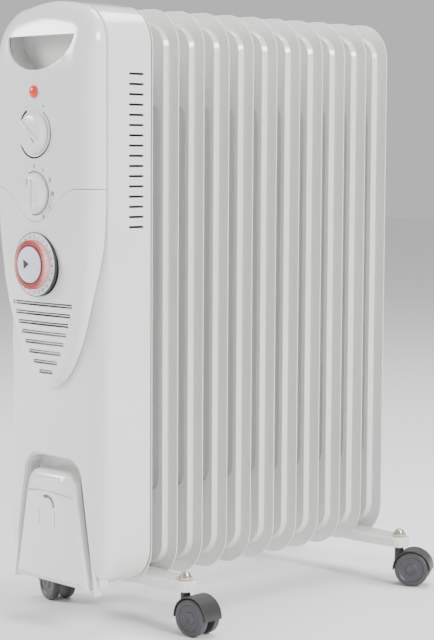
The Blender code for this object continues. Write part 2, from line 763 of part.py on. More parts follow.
def cover_edge_depth(x, z):
    """The covers' edge rests on the housing where the shield tapers, and is level above."""
    inset = HALF_WIDTH - abs(x) + COVER_WALL + 0.001
    return max(COVER_EDGE, case_depth(inset, z) + COVER_REST)


COVER_SHARES = ((0.0, 0.0), (0.09, 0.50), (0.34, 0.83), (0.68, 0.97), (1.0, 1.0))


def cover_depth(x, z):
    """How far the upper cover's outside stands ahead of the first fin's plane."""
    inset = min(HALF_WIDTH - abs(x), CASE_TOP + CASE_CROWN / 2 - z) / COVER_ROUND
    share = 1.0
    for (inset_a, share_a), (inset_b, share_b) in zip(COVER_SHARES, COVER_SHARES[1:]):
        if inset_a <= inset < inset_b:
            share = share_a + (share_b - share_a) * (inset - inset_a) / (inset_b - inset_a)
    edge = cover_edge_depth(x, z)
    flat_half = HALF_WIDTH - COVER_ROUND
    rise = cover_rise(x, z, flat_half) if abs(x) < flat_half else 0.0
    return edge + (panel_depth(z) - edge) * share + rise


def build_covers():
    """The control fascia, made as one form and parted along the seam into two covers."""
    rim = cover_outline(0.0)
    loops = []
    for inset_share, depth_share in COVER_SHARES:
        loop = []
        for (x, z), (rim_x, rim_z) in zip(cover_outline(COVER_ROUND * inset_share), rim):
            edge = cover_edge_depth(rim_x, rim_z)
            loop.append((x, ahead(edge + (panel_depth(z) - edge) * depth_share), z))
        loops.append(loop)
    forms = {}
    for name in ("upper_cover", "lower_cover"):
        cover = add_part(name, shell(name, loops, cover_rise), PLASTIC_WHITE, 0.28)
        thicken(cover, COVER_WALL)
        forms[name] = cover
    for name, shift, high in (("upper_cover", SEAM_GAP / 2, False),
                              ("lower_cover", -SEAM_GAP / 2, True)):
        seam = seam_line(shift)
        edge_z = CASE_TOP + 0.1 if high else CASE_BOTTOM
        outline = seam + [(-0.2, edge_z), (0.2, edge_z)]
        cut(forms[name], add_cutter(name + "_seam", plate_prism(
            name + "_seam", outline, ahead(CUT_FRONT), ahead(0.03))))
    return forms["upper_cover"], forms["lower_cover"]


def seam_line(shift):
    """The parting line: level at the sides and dipping in a smooth curve in the middle."""
    points = [(0.2, SEAM_SIDE + shift)]
    steps = 12
    for step in range(steps + 1):
        x = SEAM_HALF * (1 - 2 * step / steps)
        fall = (SEAM_SIDE - SEAM_MIDDLE) * (1 + math.cos(math.pi * x / SEAM_HALF)) / 2
        points.append((x, SEAM_SIDE - fall + shift))
    points.append((-0.2, SEAM_SIDE + shift))
    return points


def scoop_outline(margin, rise):
    """The finger pocket's outline: straight under the handle bar, bowl-shaped below."""
    half = SCOOP_HALF + margin
    points = []
    steps = 10
    for step in range(steps + 1):
        angle = math.pi * step / steps
        points.append((-half * math.cos(angle),
                       GRIP_LINE - (SCOOP_DROP + margin) * math.sin(angle)))
    if rise:
        points += [(half, GRIP_LINE + rise), (-half, GRIP_LINE + rise)]
    return points


def build_handle(upper_cover):
    """The finger pocket under and behind the handle bar."""
    cut(upper_cover, add_cutter("scoop", plate_prism(
        "scoop", scoop_outline(0.0, 0.0), ahead(CUT_FRONT), ahead(0.055))))
    outer = scoop_outline(POCKET_MARGIN, POCKET_RISE)
    inner = scoop_outline(POCKET_MARGIN - POCKET_WALL, POCKET_RISE - POCKET_WALL)
    behind_cover = COVER_WALL + POCKET_REST
    front = [(x, ahead(cover_depth(x, z) - behind_cover), z) for x, z in outer]
    pocket = add_part("handle_pocket", loft("handle_pocket", [
        front, at_y(outer, ahead(POCKET_DEPTH))]), PLASTIC_WHITE, 0.3)
    cut(pocket, add_cutter("pocket_space", plate_prism(
        "pocket_space", inner, ahead(CUT_FRONT), ahead(POCKET_DEPTH + POCKET_WALL))))


def build_back_plate():
    """The sheet that closes the housing in front of the first fin."""
    inset = CASE_WALL + 0.0005
    plate = add_part("rear_plate", loft("rear_plate", [
        at_y(crowned_outline(inset), ahead(BACK_PLATE_Y + BACK_PLATE)),
        at_y(crowned_outline(inset), ahead(BACK_PLATE_Y))]), STEEL, 0.4, 0.8)
    hole = rod_mesh("flange_hole", HEADER_RADIUS + 0.004, (0, ahead(0.02), LOWER_HEADER_Z),
                    (0, ahead(0.0), LOWER_HEADER_Z), 16)
    cut(plate, add_cutter("flange_hole", hole))


# ---------------------------------------------------------------- controls

def panel_at(z):
    """World Y of the control panel's face on the middle line at this height."""
    return ahead(middle_depth(z))


def round_hole(name, x, z, radius, sides=14):
    return add_cutter(name, rod_mesh(name, radius, (x, ahead(CUT_FRONT), z), (x, ahead(0.05), z), sides))


def knob(name, z, radius, turn, steps):
    """A skirted control knob with a raised grip, its origin on the shaft's axis."""
    face = KNOB_DEPTH
    profile = [(0.0, face), (radius - KNOB_TAPER, face), (radius - KNOB_TAPER * 0.6, face - 0.001),
               (radius - 0.0008, KNOB_SKIRT), (radius, KNOB_SKIRT - 0.0008), (radius, 0.0),
               (SHAFT_RADIUS, 0.0), (SHAFT_RADIUS, -0.012), (0.0, -0.012)]
    mesh = turned_mesh(name, profile, steps)
    part = add_part(name, mesh, PLASTIC_WHITE, 0.3)
    bar = box_mesh(name + "_bar",
                   (-GRIP_HALF_WIDTH, -face - GRIP_RISE, -(radius - KNOB_TAPER - 0.001)),
                   (GRIP_HALF_WIDTH, -face + 0.002, radius - KNOB_TAPER - 0.001), 0.0008)
    tool = add_cutter(name + "_bar", bar)
    part.location = (0, panel_at(z) - TOUCH_GAP, z)
    part.rotation_euler = (0, math.radians(-turn), 0)
    tool.parent = part
    join(part, tool)
    return part


def build_controls(upper_cover, lower_cover):
    """Lamp, thermostat, selector and timer, with what they drive behind the panel."""
    lens = turned_mesh("indicator_lens", [
        (0.0, 0.0030), (LAMP_RADIUS * 0.55, 0.0024), (LAMP_RADIUS, 0.0006), (LAMP_RADIUS, 0.0),
        (LAMP_RADIUS - 0.0012, 0.0), (LAMP_RADIUS - 0.0012, -0.009), (0.0, -0.009)], 14)
    lamp = add_part("indicator_lens", lens, RED, 0.15)
    lamp.location = (0, panel_at(LAMP_Z) - TOUCH_GAP * 2, LAMP_Z)
    cut(upper_cover, round_hole("lamp_hole", 0, LAMP_Z, LAMP_RADIUS - 0.0012 + TOUCH_GAP))

    knob("thermostat_knob", THERMOSTAT_Z, THERMOSTAT_RADIUS, THERMOSTAT_TURN, 20)
    knob("selector_knob", SELECTOR_Z, SELECTOR_RADIUS, 0.0, 20)
    hole_radius = SHAFT_RADIUS + RUN_GAP
    for label, height in (("thermostat", THERMOSTAT_Z), ("selector", SELECTOR_Z)):
        cut(upper_cover, round_hole(label + "_hole", 0, height, hole_radius))
        body_front = panel_at(height) + COVER_WALL + BEHIND_PANEL
        name = "thermostat" if label == "thermostat" else "selector_switch"
        size = (0.017, 0.018, 0.016) if label == "thermostat" else (0.014, 0.016, 0.018)
        body = add_part(name, box_mesh(name, (-size[0], body_front, height - size[2]),
                                       (size[0], body_front + size[1], height + size[2]),
                                       0.0012), BLACK, 0.5)
        bore = rod_mesh(name + "_bore", hole_radius, (0, body_front - 0.01, height),
                        (0, body_front + 0.011, height), 14)
        cut(body, add_cutter(name + "_bore", bore))

    timer_y = panel_at(TIMER_Z) - TIMER_STAND
    timer = add_part("timer_dial", turned_mesh("timer_dial", [
        (TIMER_HUB + 0.0006, TIMER_RING_DEPTH), (TIMER_RING - 0.0006, TIMER_RING_DEPTH),
        (TIMER_RING, TIMER_RING_DEPTH - 0.0006), (TIMER_RING, TIMER_DISC + 0.0006),
        (TIMER_RADIUS, TIMER_DISC), (TIMER_RADIUS, 0.0), (SHAFT_RADIUS + 0.0015, 0.0),
        (SHAFT_RADIUS + 0.0015, TIMER_DISC), (TIMER_HUB + 0.0006, TIMER_DISC),
        (TIMER_HUB + 0.0006, TIMER_RING_DEPTH)], 32), DIAL_WHITE, 0.3)
    timer.location = (0, timer_y, TIMER_Z)
    hub = add_part("timer_hub", turned_mesh("timer_hub", [
        (0.0, TIMER_RING_DEPTH + 0.0012), (TIMER_HUB - 0.001, TIMER_RING_DEPTH + 0.0012),
        (TIMER_HUB, TIMER_RING_DEPTH + 0.0002), (TIMER_HUB, TIMER_DISC + TOUCH_GAP),
        (SHAFT_RADIUS + 0.0011, TIMER_DISC + TOUCH_GAP), (SHAFT_RADIUS + 0.0011, -0.010),
        (0.0, -0.010)], 24), HUB_BLUE, 0.3)
    hub.location = (0, timer_y, TIMER_Z)
    seat = round_hole("timer_seat", 0, TIMER_Z, TIMER_RADIUS + 0.0008, 32)
    cut(lower_cover, seat)
    back_y = timer_y + 0.0006
    module = add_part("timer_module", rod_mesh(
        "timer_module", TIMER_RADIUS - 0.001, (0, back_y, TIMER_Z), (0, back_y + 0.016, TIMER_Z),
        20), BLACK, 0.5)
    bore = rod_mesh("timer_bore", SHAFT_RADIUS + 0.0011 + RUN_GAP, (0, back_y - 0.01, TIMER_Z),
                    (0, back_y + 0.0105, TIMER_Z), 14)
    cut(module, add_cutter("timer_bore", bore))


def build_louvres(lower_cover):
    """The fan outlet's slots, each as wide as the shield allows."""
    slots = bmesh.new()
    fall = SHIELD_TOP - SHIELD_TIP
    for index in range(LOUVRE_COUNT):
        height = LOUVRE_TOP - index * LOUVRE_PITCH
        share = (SHIELD_TOP - height) / fall
        half = HALF_WIDTH * math.sqrt(1 - share ** 2) - LOUVRE_MARGIN - 0.012 * share
        add_box(slots, (2 * half, THROUGH, LOUVRE_HEIGHT), (0, ahead(CUT_MIDDLE), height))
    cut(lower_cover, add_cutter("louvre_slots", to_mesh("louvre_slots", slots)))


def build_inside():
    """Fan, terminal block and cord gland inside the housing."""
    motor_back = ahead(FAN_BACK)
    motor_front = motor_back - FAN_MOTOR_LENGTH
    motor = add_part("fan_motor", rod_mesh(
        "fan_motor", FAN_MOTOR_RADIUS, (0, motor_front, FAN_Z), (0, motor_back, FAN_Z), 16),
        BLACK, 0.5)
    bore = rod_mesh("motor_bore", SHAFT_RADIUS + RUN_GAP, (0, motor_front - 0.01, FAN_Z),
                    (0, motor_front + FAN_MOTOR_LENGTH * 2 / 3, FAN_Z), 12)
    cut(motor, add_cutter("motor_bore", bore))
    hub_half = FAN_HUB_LENGTH / 2
    impeller = add_part("fan_impeller", rod_mesh(
        "fan_impeller", FAN_HUB_RADIUS, (0, -hub_half, 0), (0, hub_half, 0), 14), BLACK, 0.4)
    impeller.location = (0, motor_front - FAN_GAP - hub_half, FAN_Z)
    shaft_end = hub_half + FAN_GAP + FAN_MOTOR_LENGTH * 0.6
    tools = [rod_mesh("fan_shaft", SHAFT_RADIUS, (0, 0, 0), (0, shaft_end, 0), 12)]
    for blade in range(FAN_BLADES):
        vane = box_mesh("fan_blade", (-BLADE_HALF_CHORD, -BLADE_HALF_THICK, FAN_HUB_RADIUS - 0.002),
                        (BLADE_HALF_CHORD, BLADE_HALF_THICK, FAN_RADIUS))
        vane.transform(Matrix.Rotation(math.radians(BLADE_PITCH), 4, "Z"))
        vane.transform(Matrix.Rotation(math.tau * blade / FAN_BLADES, 4, "Y"))
        tools.append(vane)
    for mesh in tools:
        tool = add_cutter(mesh.name, mesh)
        tool.parent = impeller
        join(impeller, tool)

    block_y = ahead(BLOCK_BACK) + BLOCK_SIZE[1] / 2
    block = bmesh.new()
    add_box(block, BLOCK_SIZE, (0, block_y, BLOCK_Z))
    block = add_part("terminal_block", to_mesh("terminal_block", block), PLASTIC_WHITE, 0.4)
    for x in (-BLOCK_PITCH, 0.0, BLOCK_PITCH):
        hole = rod_mesh("terminal_hole", BLOCK_HOLE, (x, block_y, BLOCK_Z - BLOCK_SIZE[2]),
                        (x, block_y, BLOCK_Z + BLOCK_SIZE[2]), 8)
        cut(block, add_cutter("terminal_hole", hole))

    gland_x = WINDER_HUB_HALF + GLAND_OFFSET
    gland = add_part("cord_gland", turned_mesh("cord_gland", [
        (GLAND_BORE, 0.010), (GLAND_COLLAR - 0.0008, 0.008), (GLAND_COLLAR, TOUCH_GAP),
        (GLAND_NECK, TOUCH_GAP), (GLAND_NECK, -0.006), (GLAND_BORE, -0.006),
        (GLAND_BORE, 0.010)], 14), DARK, 0.5)
    floor_y = ahead(RECESS_BACK + RECESS_WALL)
    gland.location = (gland_x, floor_y, GLAND_Z)
    hole = rod_mesh("gland_hole", GLAND_NECK + TOUCH_GAP, (gland_x, floor_y - 0.01, GLAND_Z),
                    (gland_x, floor_y + 0.01, GLAND_Z), 14)
    cut(bpy.data.objects["cord_recess"], add_cutter("gland_hole", hole))


# ---------------------------------------------------------------- feet

def foot_plate(name, middle_y, stem_x):
    """A pressed foot plate: a downturned channel between two fins, round at both ends."""
    def outline(inset):
        taper = PLATE_TAPER_START
        right = [(taper, -PLATE_HALF + inset)]
        for step in range(7):
            angle = math.radians(-80 + 160 * step / 6)
            right.append((stem_x + (PLATE_TIP - inset) * math.cos(angle),
                          (PLATE_TIP - inset) * math.sin(angle)))
        right.append((taper, PLATE_HALF - inset))
        left = [(-x, -y) for x, y in right]
        return [(x, middle_y + y) for x, y in right + left]

    outer = outline(0.0)
    soft = outline(0.0016)
    loops = [[(x, y, PLATE_BOTTOM) for x, y in outer],
             [(x, y, PLATE_TOP - 0.0016) for x, y in outer],
             [(x, y, PLATE_TOP) for x, y in soft]]
    plate = add_part(name, shell(name, loops), WHITE, 0.3)
    thicken(plate, PLATE_WALL)
    seats = []
    for side in (-1, 1):
        boss = rod_mesh(name + "_seat", PLATE_SEAT, (side * stem_x, middle_y, PLATE_BOTTOM),
                        (side * stem_x, middle_y, PLATE_TOP - 0.0005), 14)
        join(plate, add_cutter(name + "_seat", boss))
        seats.append(rod_mesh(name + "_stem_hole", STEM_RADIUS + RUN_GAP,
                              (side * stem_x, middle_y, 0), (side * stem_x, middle_y, 0.1), 12))
        bolt_x = side * (HEADER_RADIUS + TOUCH_GAP + U_BOLT_WIRE)
        seats.append(rod_mesh(name + "_bolt_hole", U_BOLT_WIRE + RUN_GAP,
                              (bolt_x, middle_y, 0), (bolt_x, middle_y, 0.1), 12))
    for index, mesh in enumerate(seats):
        cut(plate, add_cutter(f"{name}_hole_{index}", mesh))


def u_bolt(name, middle_y):
    """A bolt bent over the lower header, which holds the foot plate up."""
    reach = HEADER_RADIUS + TOUCH_GAP + U_BOLT_WIRE
    low = PLATE_BOTTOM + 0.001
    path = [(-reach, middle_y, low)]
    for step in range(9):
        angle = math.pi * step / 8
        path.append((-reach * math.cos(angle), middle_y, LOWER_HEADER_Z + reach * math.sin(angle)))
    path.append((reach, middle_y, low))
    bent_rod(name, path, U_BOLT_WIRE, STEEL, 0.3, 0.9)


def hood_mesh(name):
    """The fork of a twin wheel castor: a half round guard, a middle web and the stem's collar.

    The axle lies along Y through the origin's X and the wheel's height; the stem is at X = 0.
    """
    def sector(outer, low_angle, high_angle, steps):
        return arc(TRAIL, WHEEL_RADIUS, outer, low_angle, high_angle, steps)

    guard_outer = sector(HOOD_RADIUS, -HOOD_DROOP, 180 + HOOD_DROOP, 12)
    guard_inner = list(reversed(sector(HOOD_RADIUS - HOOD_WALL, -HOOD_DROOP, 180 + HOOD_DROOP, 12)))
    guard = loft(name, [at_y(guard_outer + guard_inner, -HOOD_HALF_WIDTH),
                        at_y(guard_outer + guard_inner, HOOD_HALF_WIDTH)])
    lug = arc(TRAIL, WHEEL_RADIUS, HOOD_LUG, 200, 340, 4)
    web_line = sector(HOOD_RADIUS - HOOD_WALL / 2, -HOOD_DROOP, 180 + HOOD_DROOP, 12) + lug
    web = loft(name + "_web", [at_y(web_line, -WEB_HALF), at_y(web_line, WEB_HALF)])
    collar = rod_mesh(name + "_collar", COLLAR_RADIUS, (0, 0, STEM_BOTTOM - 0.003),
                      (0, 0, COLLAR_TOP), 14)
    bore = rod_mesh(name + "_bore", STEM_RADIUS + RUN_GAP, (0, 0, STEM_BOTTOM - TOUCH_GAP),
                    (0, 0, COLLAR_TOP + 0.01), 12)
    axle_hole = rod_mesh(name + "_axle_hole", AXLE_RADIUS + RUN_GAP, (TRAIL, -0.02, WHEEL_RADIUS),
                         (TRAIL, 0.02, WHEEL_RADIUS), 10)
    form = bpy.data.objects.new(name + "_form", guard)
    PARTS.objects.link(form)
    join(form, add_cutter(name + "_web", web), add_cutter(name + "_collar", collar))
    cut(form, add_cutter(name + "_bore", bore), add_cutter(name + "_axle_hole", axle_hole))
    mesh = baked(form)
    mesh.name = name
    for tool in [cutter for cutter in CUTTERS.objects if cutter.name.startswith(name)]:
        bpy.data.objects.remove(tool, do_unlink=True)
    return mesh


def build_castors():
    """Four castors: a stem fixed in the plate, a hood that swivels on it, and two wheels."""
    rim = WHEEL_RADIUS / math.cos(math.pi / WHEEL_SIDES)
    bore = AXLE_RADIUS + RUN_GAP
    wheel = turned_mesh("wheel", [
        (0.0, WHEEL_OUTER), (rim - WHEEL_CHAMFER, WHEEL_OUTER), (rim, WHEEL_OUTER - WHEEL_CHAMFER / 2),
        (rim, WHEEL_INNER), (bore, WHEEL_INNER), (bore, WHEEL_OUTER - WHEEL_WEB),
        (0.0, WHEEL_OUTER - WHEEL_WEB)], WHEEL_SIDES, half_step=True)
    hood = hood_mesh("hood")
    hood.materials.clear()
    hood.materials.append(material("castor_hood", BLACK, 0.45))
    axle_reach = WHEEL_OUTER - WHEEL_WEB - TOUCH_GAP
    axle = rod_mesh("axle", AXLE_RADIUS, (0, -axle_reach, 0), (0, axle_reach, 0), 10)
    for place, turn in CASTOR_TURNS.items():
        front = place.startswith("front")
        stem_x = FRONT_STEM_X if front else REAR_STEM_X
        stem_x *= 1 if place.endswith("right") else -1
        gap_index = 0.5 if front else FIN_COUNT - 1.5
        stem_y = FIRST_FIN_Y + gap_index * FIN_PITCH
        pivot = bpy.data.objects.new(place + "_swivel", None)
        PARTS.objects.link(pivot)
        pivot.location = (stem_x, stem_y, 0)
        pivot.rotation_euler = (0, 0, math.radians(turn))
        guard = add_part(f"castor_{place}_hood", hood, BLACK, 0.45)
        guard.parent = pivot
        for label, half_turn in (("near", 0.0), ("far", math.pi)):
            piece = add_part(f"castor_{place}_wheel_{label}", wheel, DARK, 0.5)
            piece.parent = pivot
            piece.location = (TRAIL, 0, WHEEL_RADIUS)
            piece.rotation_euler = (0, 0, half_turn)
        pin = add_part(f"castor_{place}_axle", axle, STEEL, 0.3, 0.9)
        pin.parent = pivot
        pin.location = (TRAIL, 0, WHEEL_RADIUS)
        add_part(f"castor_{place}_stem", rod_mesh(
            "stem", STEM_RADIUS, (stem_x, stem_y, STEM_BOTTOM), (stem_x, stem_y, STEM_TOP), 12),
            STEEL, 0.3, 0.9)
        nut_low = PLATE_TOP + TOUCH_GAP
        nut = add_part(f"castor_{place}_nut", rod_mesh(
            "nut", NUT_RADIUS, (stem_x, stem_y, nut_low), (stem_x, stem_y, nut_low + NUT_THICK),
            6), BRASS, 0.3, 0.9)
        thread = rod_mesh("nut_bore", STEM_RADIUS + RUN_GAP, (stem_x, stem_y, nut_low - 0.01),
                          (stem_x, stem_y, nut_low + 0.02), 12)
        cut(nut, add_cutter(f"castor_{place}_nut_bore", thread))


def build_feet():
    for label, gap_index, stem_x in (("front", 0.5, FRONT_STEM_X),
                                     ("rear", FIN_COUNT - 1.5, REAR_STEM_X)):
        middle_y = FIRST_FIN_Y + gap_index * FIN_PITCH
        foot_plate("foot_plate_" + label, middle_y, stem_x)
        u_bolt("u_bolt_" + label, middle_y)


build_fins()
build_element()
build_casing()
build_cord_storage()
UPPER, LOWER = build_covers()
build_handle(UPPER)
build_back_plate()
build_controls(UPPER, LOWER)
build_louvres(LOWER)
build_inside()
build_feet()
build_castors()
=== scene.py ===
"""Looks of the oil filled radiator heater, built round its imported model."""

import math

import bmesh
import bpy
from mathutils import Matrix, Vector


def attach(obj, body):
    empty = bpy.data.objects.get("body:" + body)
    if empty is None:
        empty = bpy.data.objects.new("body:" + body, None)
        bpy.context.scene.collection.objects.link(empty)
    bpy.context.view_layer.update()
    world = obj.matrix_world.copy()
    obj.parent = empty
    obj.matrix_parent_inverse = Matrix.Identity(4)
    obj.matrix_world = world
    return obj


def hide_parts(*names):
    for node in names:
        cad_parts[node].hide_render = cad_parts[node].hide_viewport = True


bl_info = {
    "name": "Oil Radiator Heater",
    "version": (1, 0, 0),
    "blender": (4, 5, 0),
    "location": "View3D > Sidebar > Heater",
    "description": "Builds the visible pieces and finishes of an oil filled radiator heater",
    "category": "Object",
}

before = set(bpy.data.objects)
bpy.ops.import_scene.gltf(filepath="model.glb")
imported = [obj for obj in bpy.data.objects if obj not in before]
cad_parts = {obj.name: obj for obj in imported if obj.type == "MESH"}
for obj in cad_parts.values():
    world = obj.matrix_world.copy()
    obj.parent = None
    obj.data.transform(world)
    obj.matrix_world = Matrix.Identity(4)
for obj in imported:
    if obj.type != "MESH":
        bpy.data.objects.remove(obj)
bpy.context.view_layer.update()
HEATER = "heater"

# Sizes shared by several pieces, in metres
FIRST_FIN_Y = -0.138
FIN_COUNT = 11
FIN_PITCH = 0.03527
FIN_BOTTOM = 0.042
FIN_TOP = 0.622
HALF_WIDTH = 0.075
FIN_CORNER = 0.040
FLANGE_BAND = 0.0135
CASE_BOTTOM = 0.046
CASE_CROWN = 0.004
CASE_SIDE_EDGE = 0.0525
CASE_FRONT = 0.067
COVER_EDGE = 0.0600
COVER_FRONT = 0.0885
COVER_CROWN = 0.0035
COVER_TIP = 0.0745
COVER_ROUND = 0.025
COVER_WALL = 0.0024
SHIELD_TIP = 0.244
SHIELD_TOP = 0.443
SEAM_MIDDLE = 0.410
SEAM_HALF = 0.058
GRIP_LINE = 0.592
LAMP_Z = 0.537
THERMOSTAT_Z = 0.497
SELECTOR_Z = 0.438
TIMER_Z = 0.368
TRAIL = 0.016
WHEEL_RADIUS = 0.019
PLATE_TOP = 0.0535
CASTORS = {"front_right": (0.106, 0.5, 5.0), "front_left": (-0.106, 0.5, -13.0),
           "rear_right": (0.1175, 9.5, 30.0), "rear_left": (-0.1175, 9.5, 130.0)}


class HeaterSettings(bpy.types.PropertyGroup):
    """Colours and sizes that change the heater's looks."""
    enamel: bpy.props.FloatVectorProperty(
        name="Enamel", description="Colour of the fins and the housing", subtype="COLOR",
        size=3, min=0.0, max=1.0, default=(0.83, 0.825, 0.80))
    plastic: bpy.props.FloatVectorProperty(
        name="Cover plastic", description="Colour of the covers and knobs", subtype="COLOR",
        size=3, min=0.0, max=1.0, default=(0.84, 0.835, 0.815))
    castor: bpy.props.FloatVectorProperty(
        name="Castor plastic", description="Colour of the castors' hoods", subtype="COLOR",
        size=3, min=0.0, max=1.0, default=(0.006, 0.006, 0.0065))
    edge: bpy.props.FloatProperty(
        name="Edge rounding", description="Rounding of the pressed edges", subtype="DISTANCE",
        unit="LENGTH", default=0.0009, min=0.0001, max=0.003)
    light: bpy.props.FloatProperty(
        name="Key light", description="Power of the large soft light", default=78.0, min=1.0)


def settings():
    return bpy.context.scene.heater_settings


def ahead(distance):
    return FIRST_FIN_Y - distance


# ------------------------------------------------------------ finishes

def finish_group():
    """Colour, roughness and fine relief that vary over a surface, with light dust on top."""
    name = "surface_finish"
    if name in bpy.data.node_groups:
        return bpy.data.node_groups[name]
    group = bpy.data.node_groups.new(name, "ShaderNodeTree")
    face = group.interface
    for label, kind, value in (
            ("Base", "NodeSocketColor", (0.8, 0.8, 0.8, 1)),
            ("Shade", "NodeSocketColor", (0.7, 0.7, 0.7, 1)),
            ("Patch Scale", "NodeSocketFloat", 9.0), ("Grain Scale", "NodeSocketFloat", 900.0),
            ("Roughness", "NodeSocketFloat", 0.3), ("Spread", "NodeSocketFloat", 0.1),
            ("Relief", "NodeSocketFloat", 0.1), ("Dust", "NodeSocketFloat", 0.1)):
        made = face.new_socket(name=label, in_out="INPUT", socket_type=kind)
        made.default_value = value
    for label, kind in (("Color", "NodeSocketColor"), ("Roughness", "NodeSocketFloat"),
                        ("Normal", "NodeSocketVector")):
        face.new_socket(name=label, in_out="OUTPUT", socket_type=kind)
    nodes, links = group.nodes, group.links
    given = nodes.new("NodeGroupInput")
    out = nodes.new("NodeGroupOutput")
    place = nodes.new("ShaderNodeTexCoord")
    patch = nodes.new("ShaderNodeTexNoise")
    patch.inputs["Detail"].default_value = 5.0
    grain = nodes.new("ShaderNodeTexNoise")
    grain.inputs["Detail"].default_value = 2.0
    peel = nodes.new("ShaderNodeTexNoise")
    peel.inputs["Scale"].default_value = 230.0
    for node, label in ((patch, "Patch Scale"), (grain, "Grain Scale"), (peel, None)):
        links.new(place.outputs["Object"], node.inputs["Vector"])
        if label:
            links.new(given.outputs[label], node.inputs["Scale"])
    mix = nodes.new("ShaderNodeMix")
    mix.data_type = "RGBA"
    links.new(patch.outputs["Fac"], mix.inputs["Factor"])
    links.new(given.outputs["Base"], mix.inputs["A"])
    links.new(given.outputs["Shade"], mix.inputs["B"])
    normal = nodes.new("ShaderNodeNewGeometry")
    split = nodes.new("ShaderNodeSeparateXYZ")
    links.new(normal.outputs["Normal"], split.inputs[0])
    up = nodes.new("ShaderNodeMapRange")
    up.inputs["From Min"].default_value = 0.35
    up.inputs["From Max"].default_value = 1.0
    links.new(split.outputs["Z"], up.inputs["Value"])
    settle = math_node(group, "MULTIPLY", up.outputs[0], patch.outputs["Fac"])
    dust = math_node(group, "MULTIPLY", settle, given.outputs["Dust"])
    dusty = nodes.new("ShaderNodeMix")
    dusty.data_type = "RGBA"
    dusty.inputs["B"].default_value = (0.55, 0.53, 0.49, 1)
    links.new(dust, dusty.inputs["Factor"])
    links.new(mix.outputs["Result"], dusty.inputs["A"])
    links.new(dusty.outputs["Result"], out.inputs["Color"])
    centred = math_node(group, "SUBTRACT", patch.outputs["Fac"], 0.5)
    spread = math_node(group, "MULTIPLY", centred, given.outputs["Spread"])
    rough = math_node(group, "ADD", spread, given.outputs["Roughness"])
    rougher = math_node(group, "ADD", rough, dust)
    links.new(rougher, out.inputs["Roughness"])
    both = math_node(group, "ADD", grain.outputs["Fac"], peel.outputs["Fac"])
    bump = nodes.new("ShaderNodeBump")
    bump.inputs["Distance"].default_value = 0.00012
    links.new(given.outputs["Relief"], bump.inputs["Strength"])
    links.new(both, bump.inputs["Height"])
    links.new(bump.outputs["Normal"], out.inputs["Normal"])
    return group


def math_node(tree, operation, first, second=None):
    node = tree.nodes.new("ShaderNodeMath")
    node.operation = operation
    for socket, value in zip(node.inputs, (first, second)):
        if isinstance(value, (int, float)):
            socket.default_value = value
        elif value is not None:
            tree.links.new(value, socket)
    return node.outputs[0]


def ring_group():
    """Mask of a printed arc on the panel, counted anticlockwise from the top in radians."""
    name = "printed_arc"
    if name in bpy.data.node_groups:
        return bpy.data.node_groups[name]
    group = bpy.data.node_groups.new(name, "ShaderNodeTree")
    for label in ("Height", "Radius", "Half Width", "Start", "End", "Taper"):
        group.interface.new_socket(name=label, in_out="INPUT", socket_type="NodeSocketFloat")
    group.interface.new_socket(name="Mask", in_out="OUTPUT", socket_type="NodeSocketFloat")
    given = group.nodes.new("NodeGroupInput")
    out = group.nodes.new("NodeGroupOutput")
    place = group.nodes.new("ShaderNodeTexCoord")
    split = group.nodes.new("ShaderNodeSeparateXYZ")
    group.links.new(place.outputs["Object"], split.inputs[0])
    across = split.outputs["X"]
    rise = math_node(group, "SUBTRACT", split.outputs["Z"], given.outputs["Height"])
    square = math_node(group, "ADD", math_node(group, "MULTIPLY", across, across),
                       math_node(group, "MULTIPLY", rise, rise))
    off = math_node(group, "ABSOLUTE", math_node(
        group, "SUBTRACT", math_node(group, "SQRT", square), given.outputs["Radius"]))
    turn = math_node(group, "ARCTAN2", math_node(group, "MULTIPLY", across, -1.0), rise)
    turned_on = math_node(group, "SUBTRACT", turn, given.outputs["Start"])
    angle = math_node(group, "ADD", math_node(group, "FLOORED_MODULO", turned_on, math.tau),
                      given.outputs["Start"])
    along = math_node(group, "DIVIDE", math_node(group, "SUBTRACT", angle, given.outputs["Start"]),
                      math_node(group, "SUBTRACT", given.outputs["End"], given.outputs["Start"]))
    thin = math_node(group, "SUBTRACT", 1.0,
                     math_node(group, "MULTIPLY", along, given.outputs["Taper"]))
    width = math_node(group, "MULTIPLY", thin, given.outputs["Half Width"])
    inside = math_node(group, "LESS_THAN", off, width)
    begun = math_node(group, "GREATER_THAN", along, 0.0)
    unfinished = math_node(group, "LESS_THAN", along, 1.0)
    mask = math_node(group, "MULTIPLY", inside, math_node(group, "MULTIPLY", begun, unfinished))
    group.links.new(mask, out.inputs["Mask"])
    return group


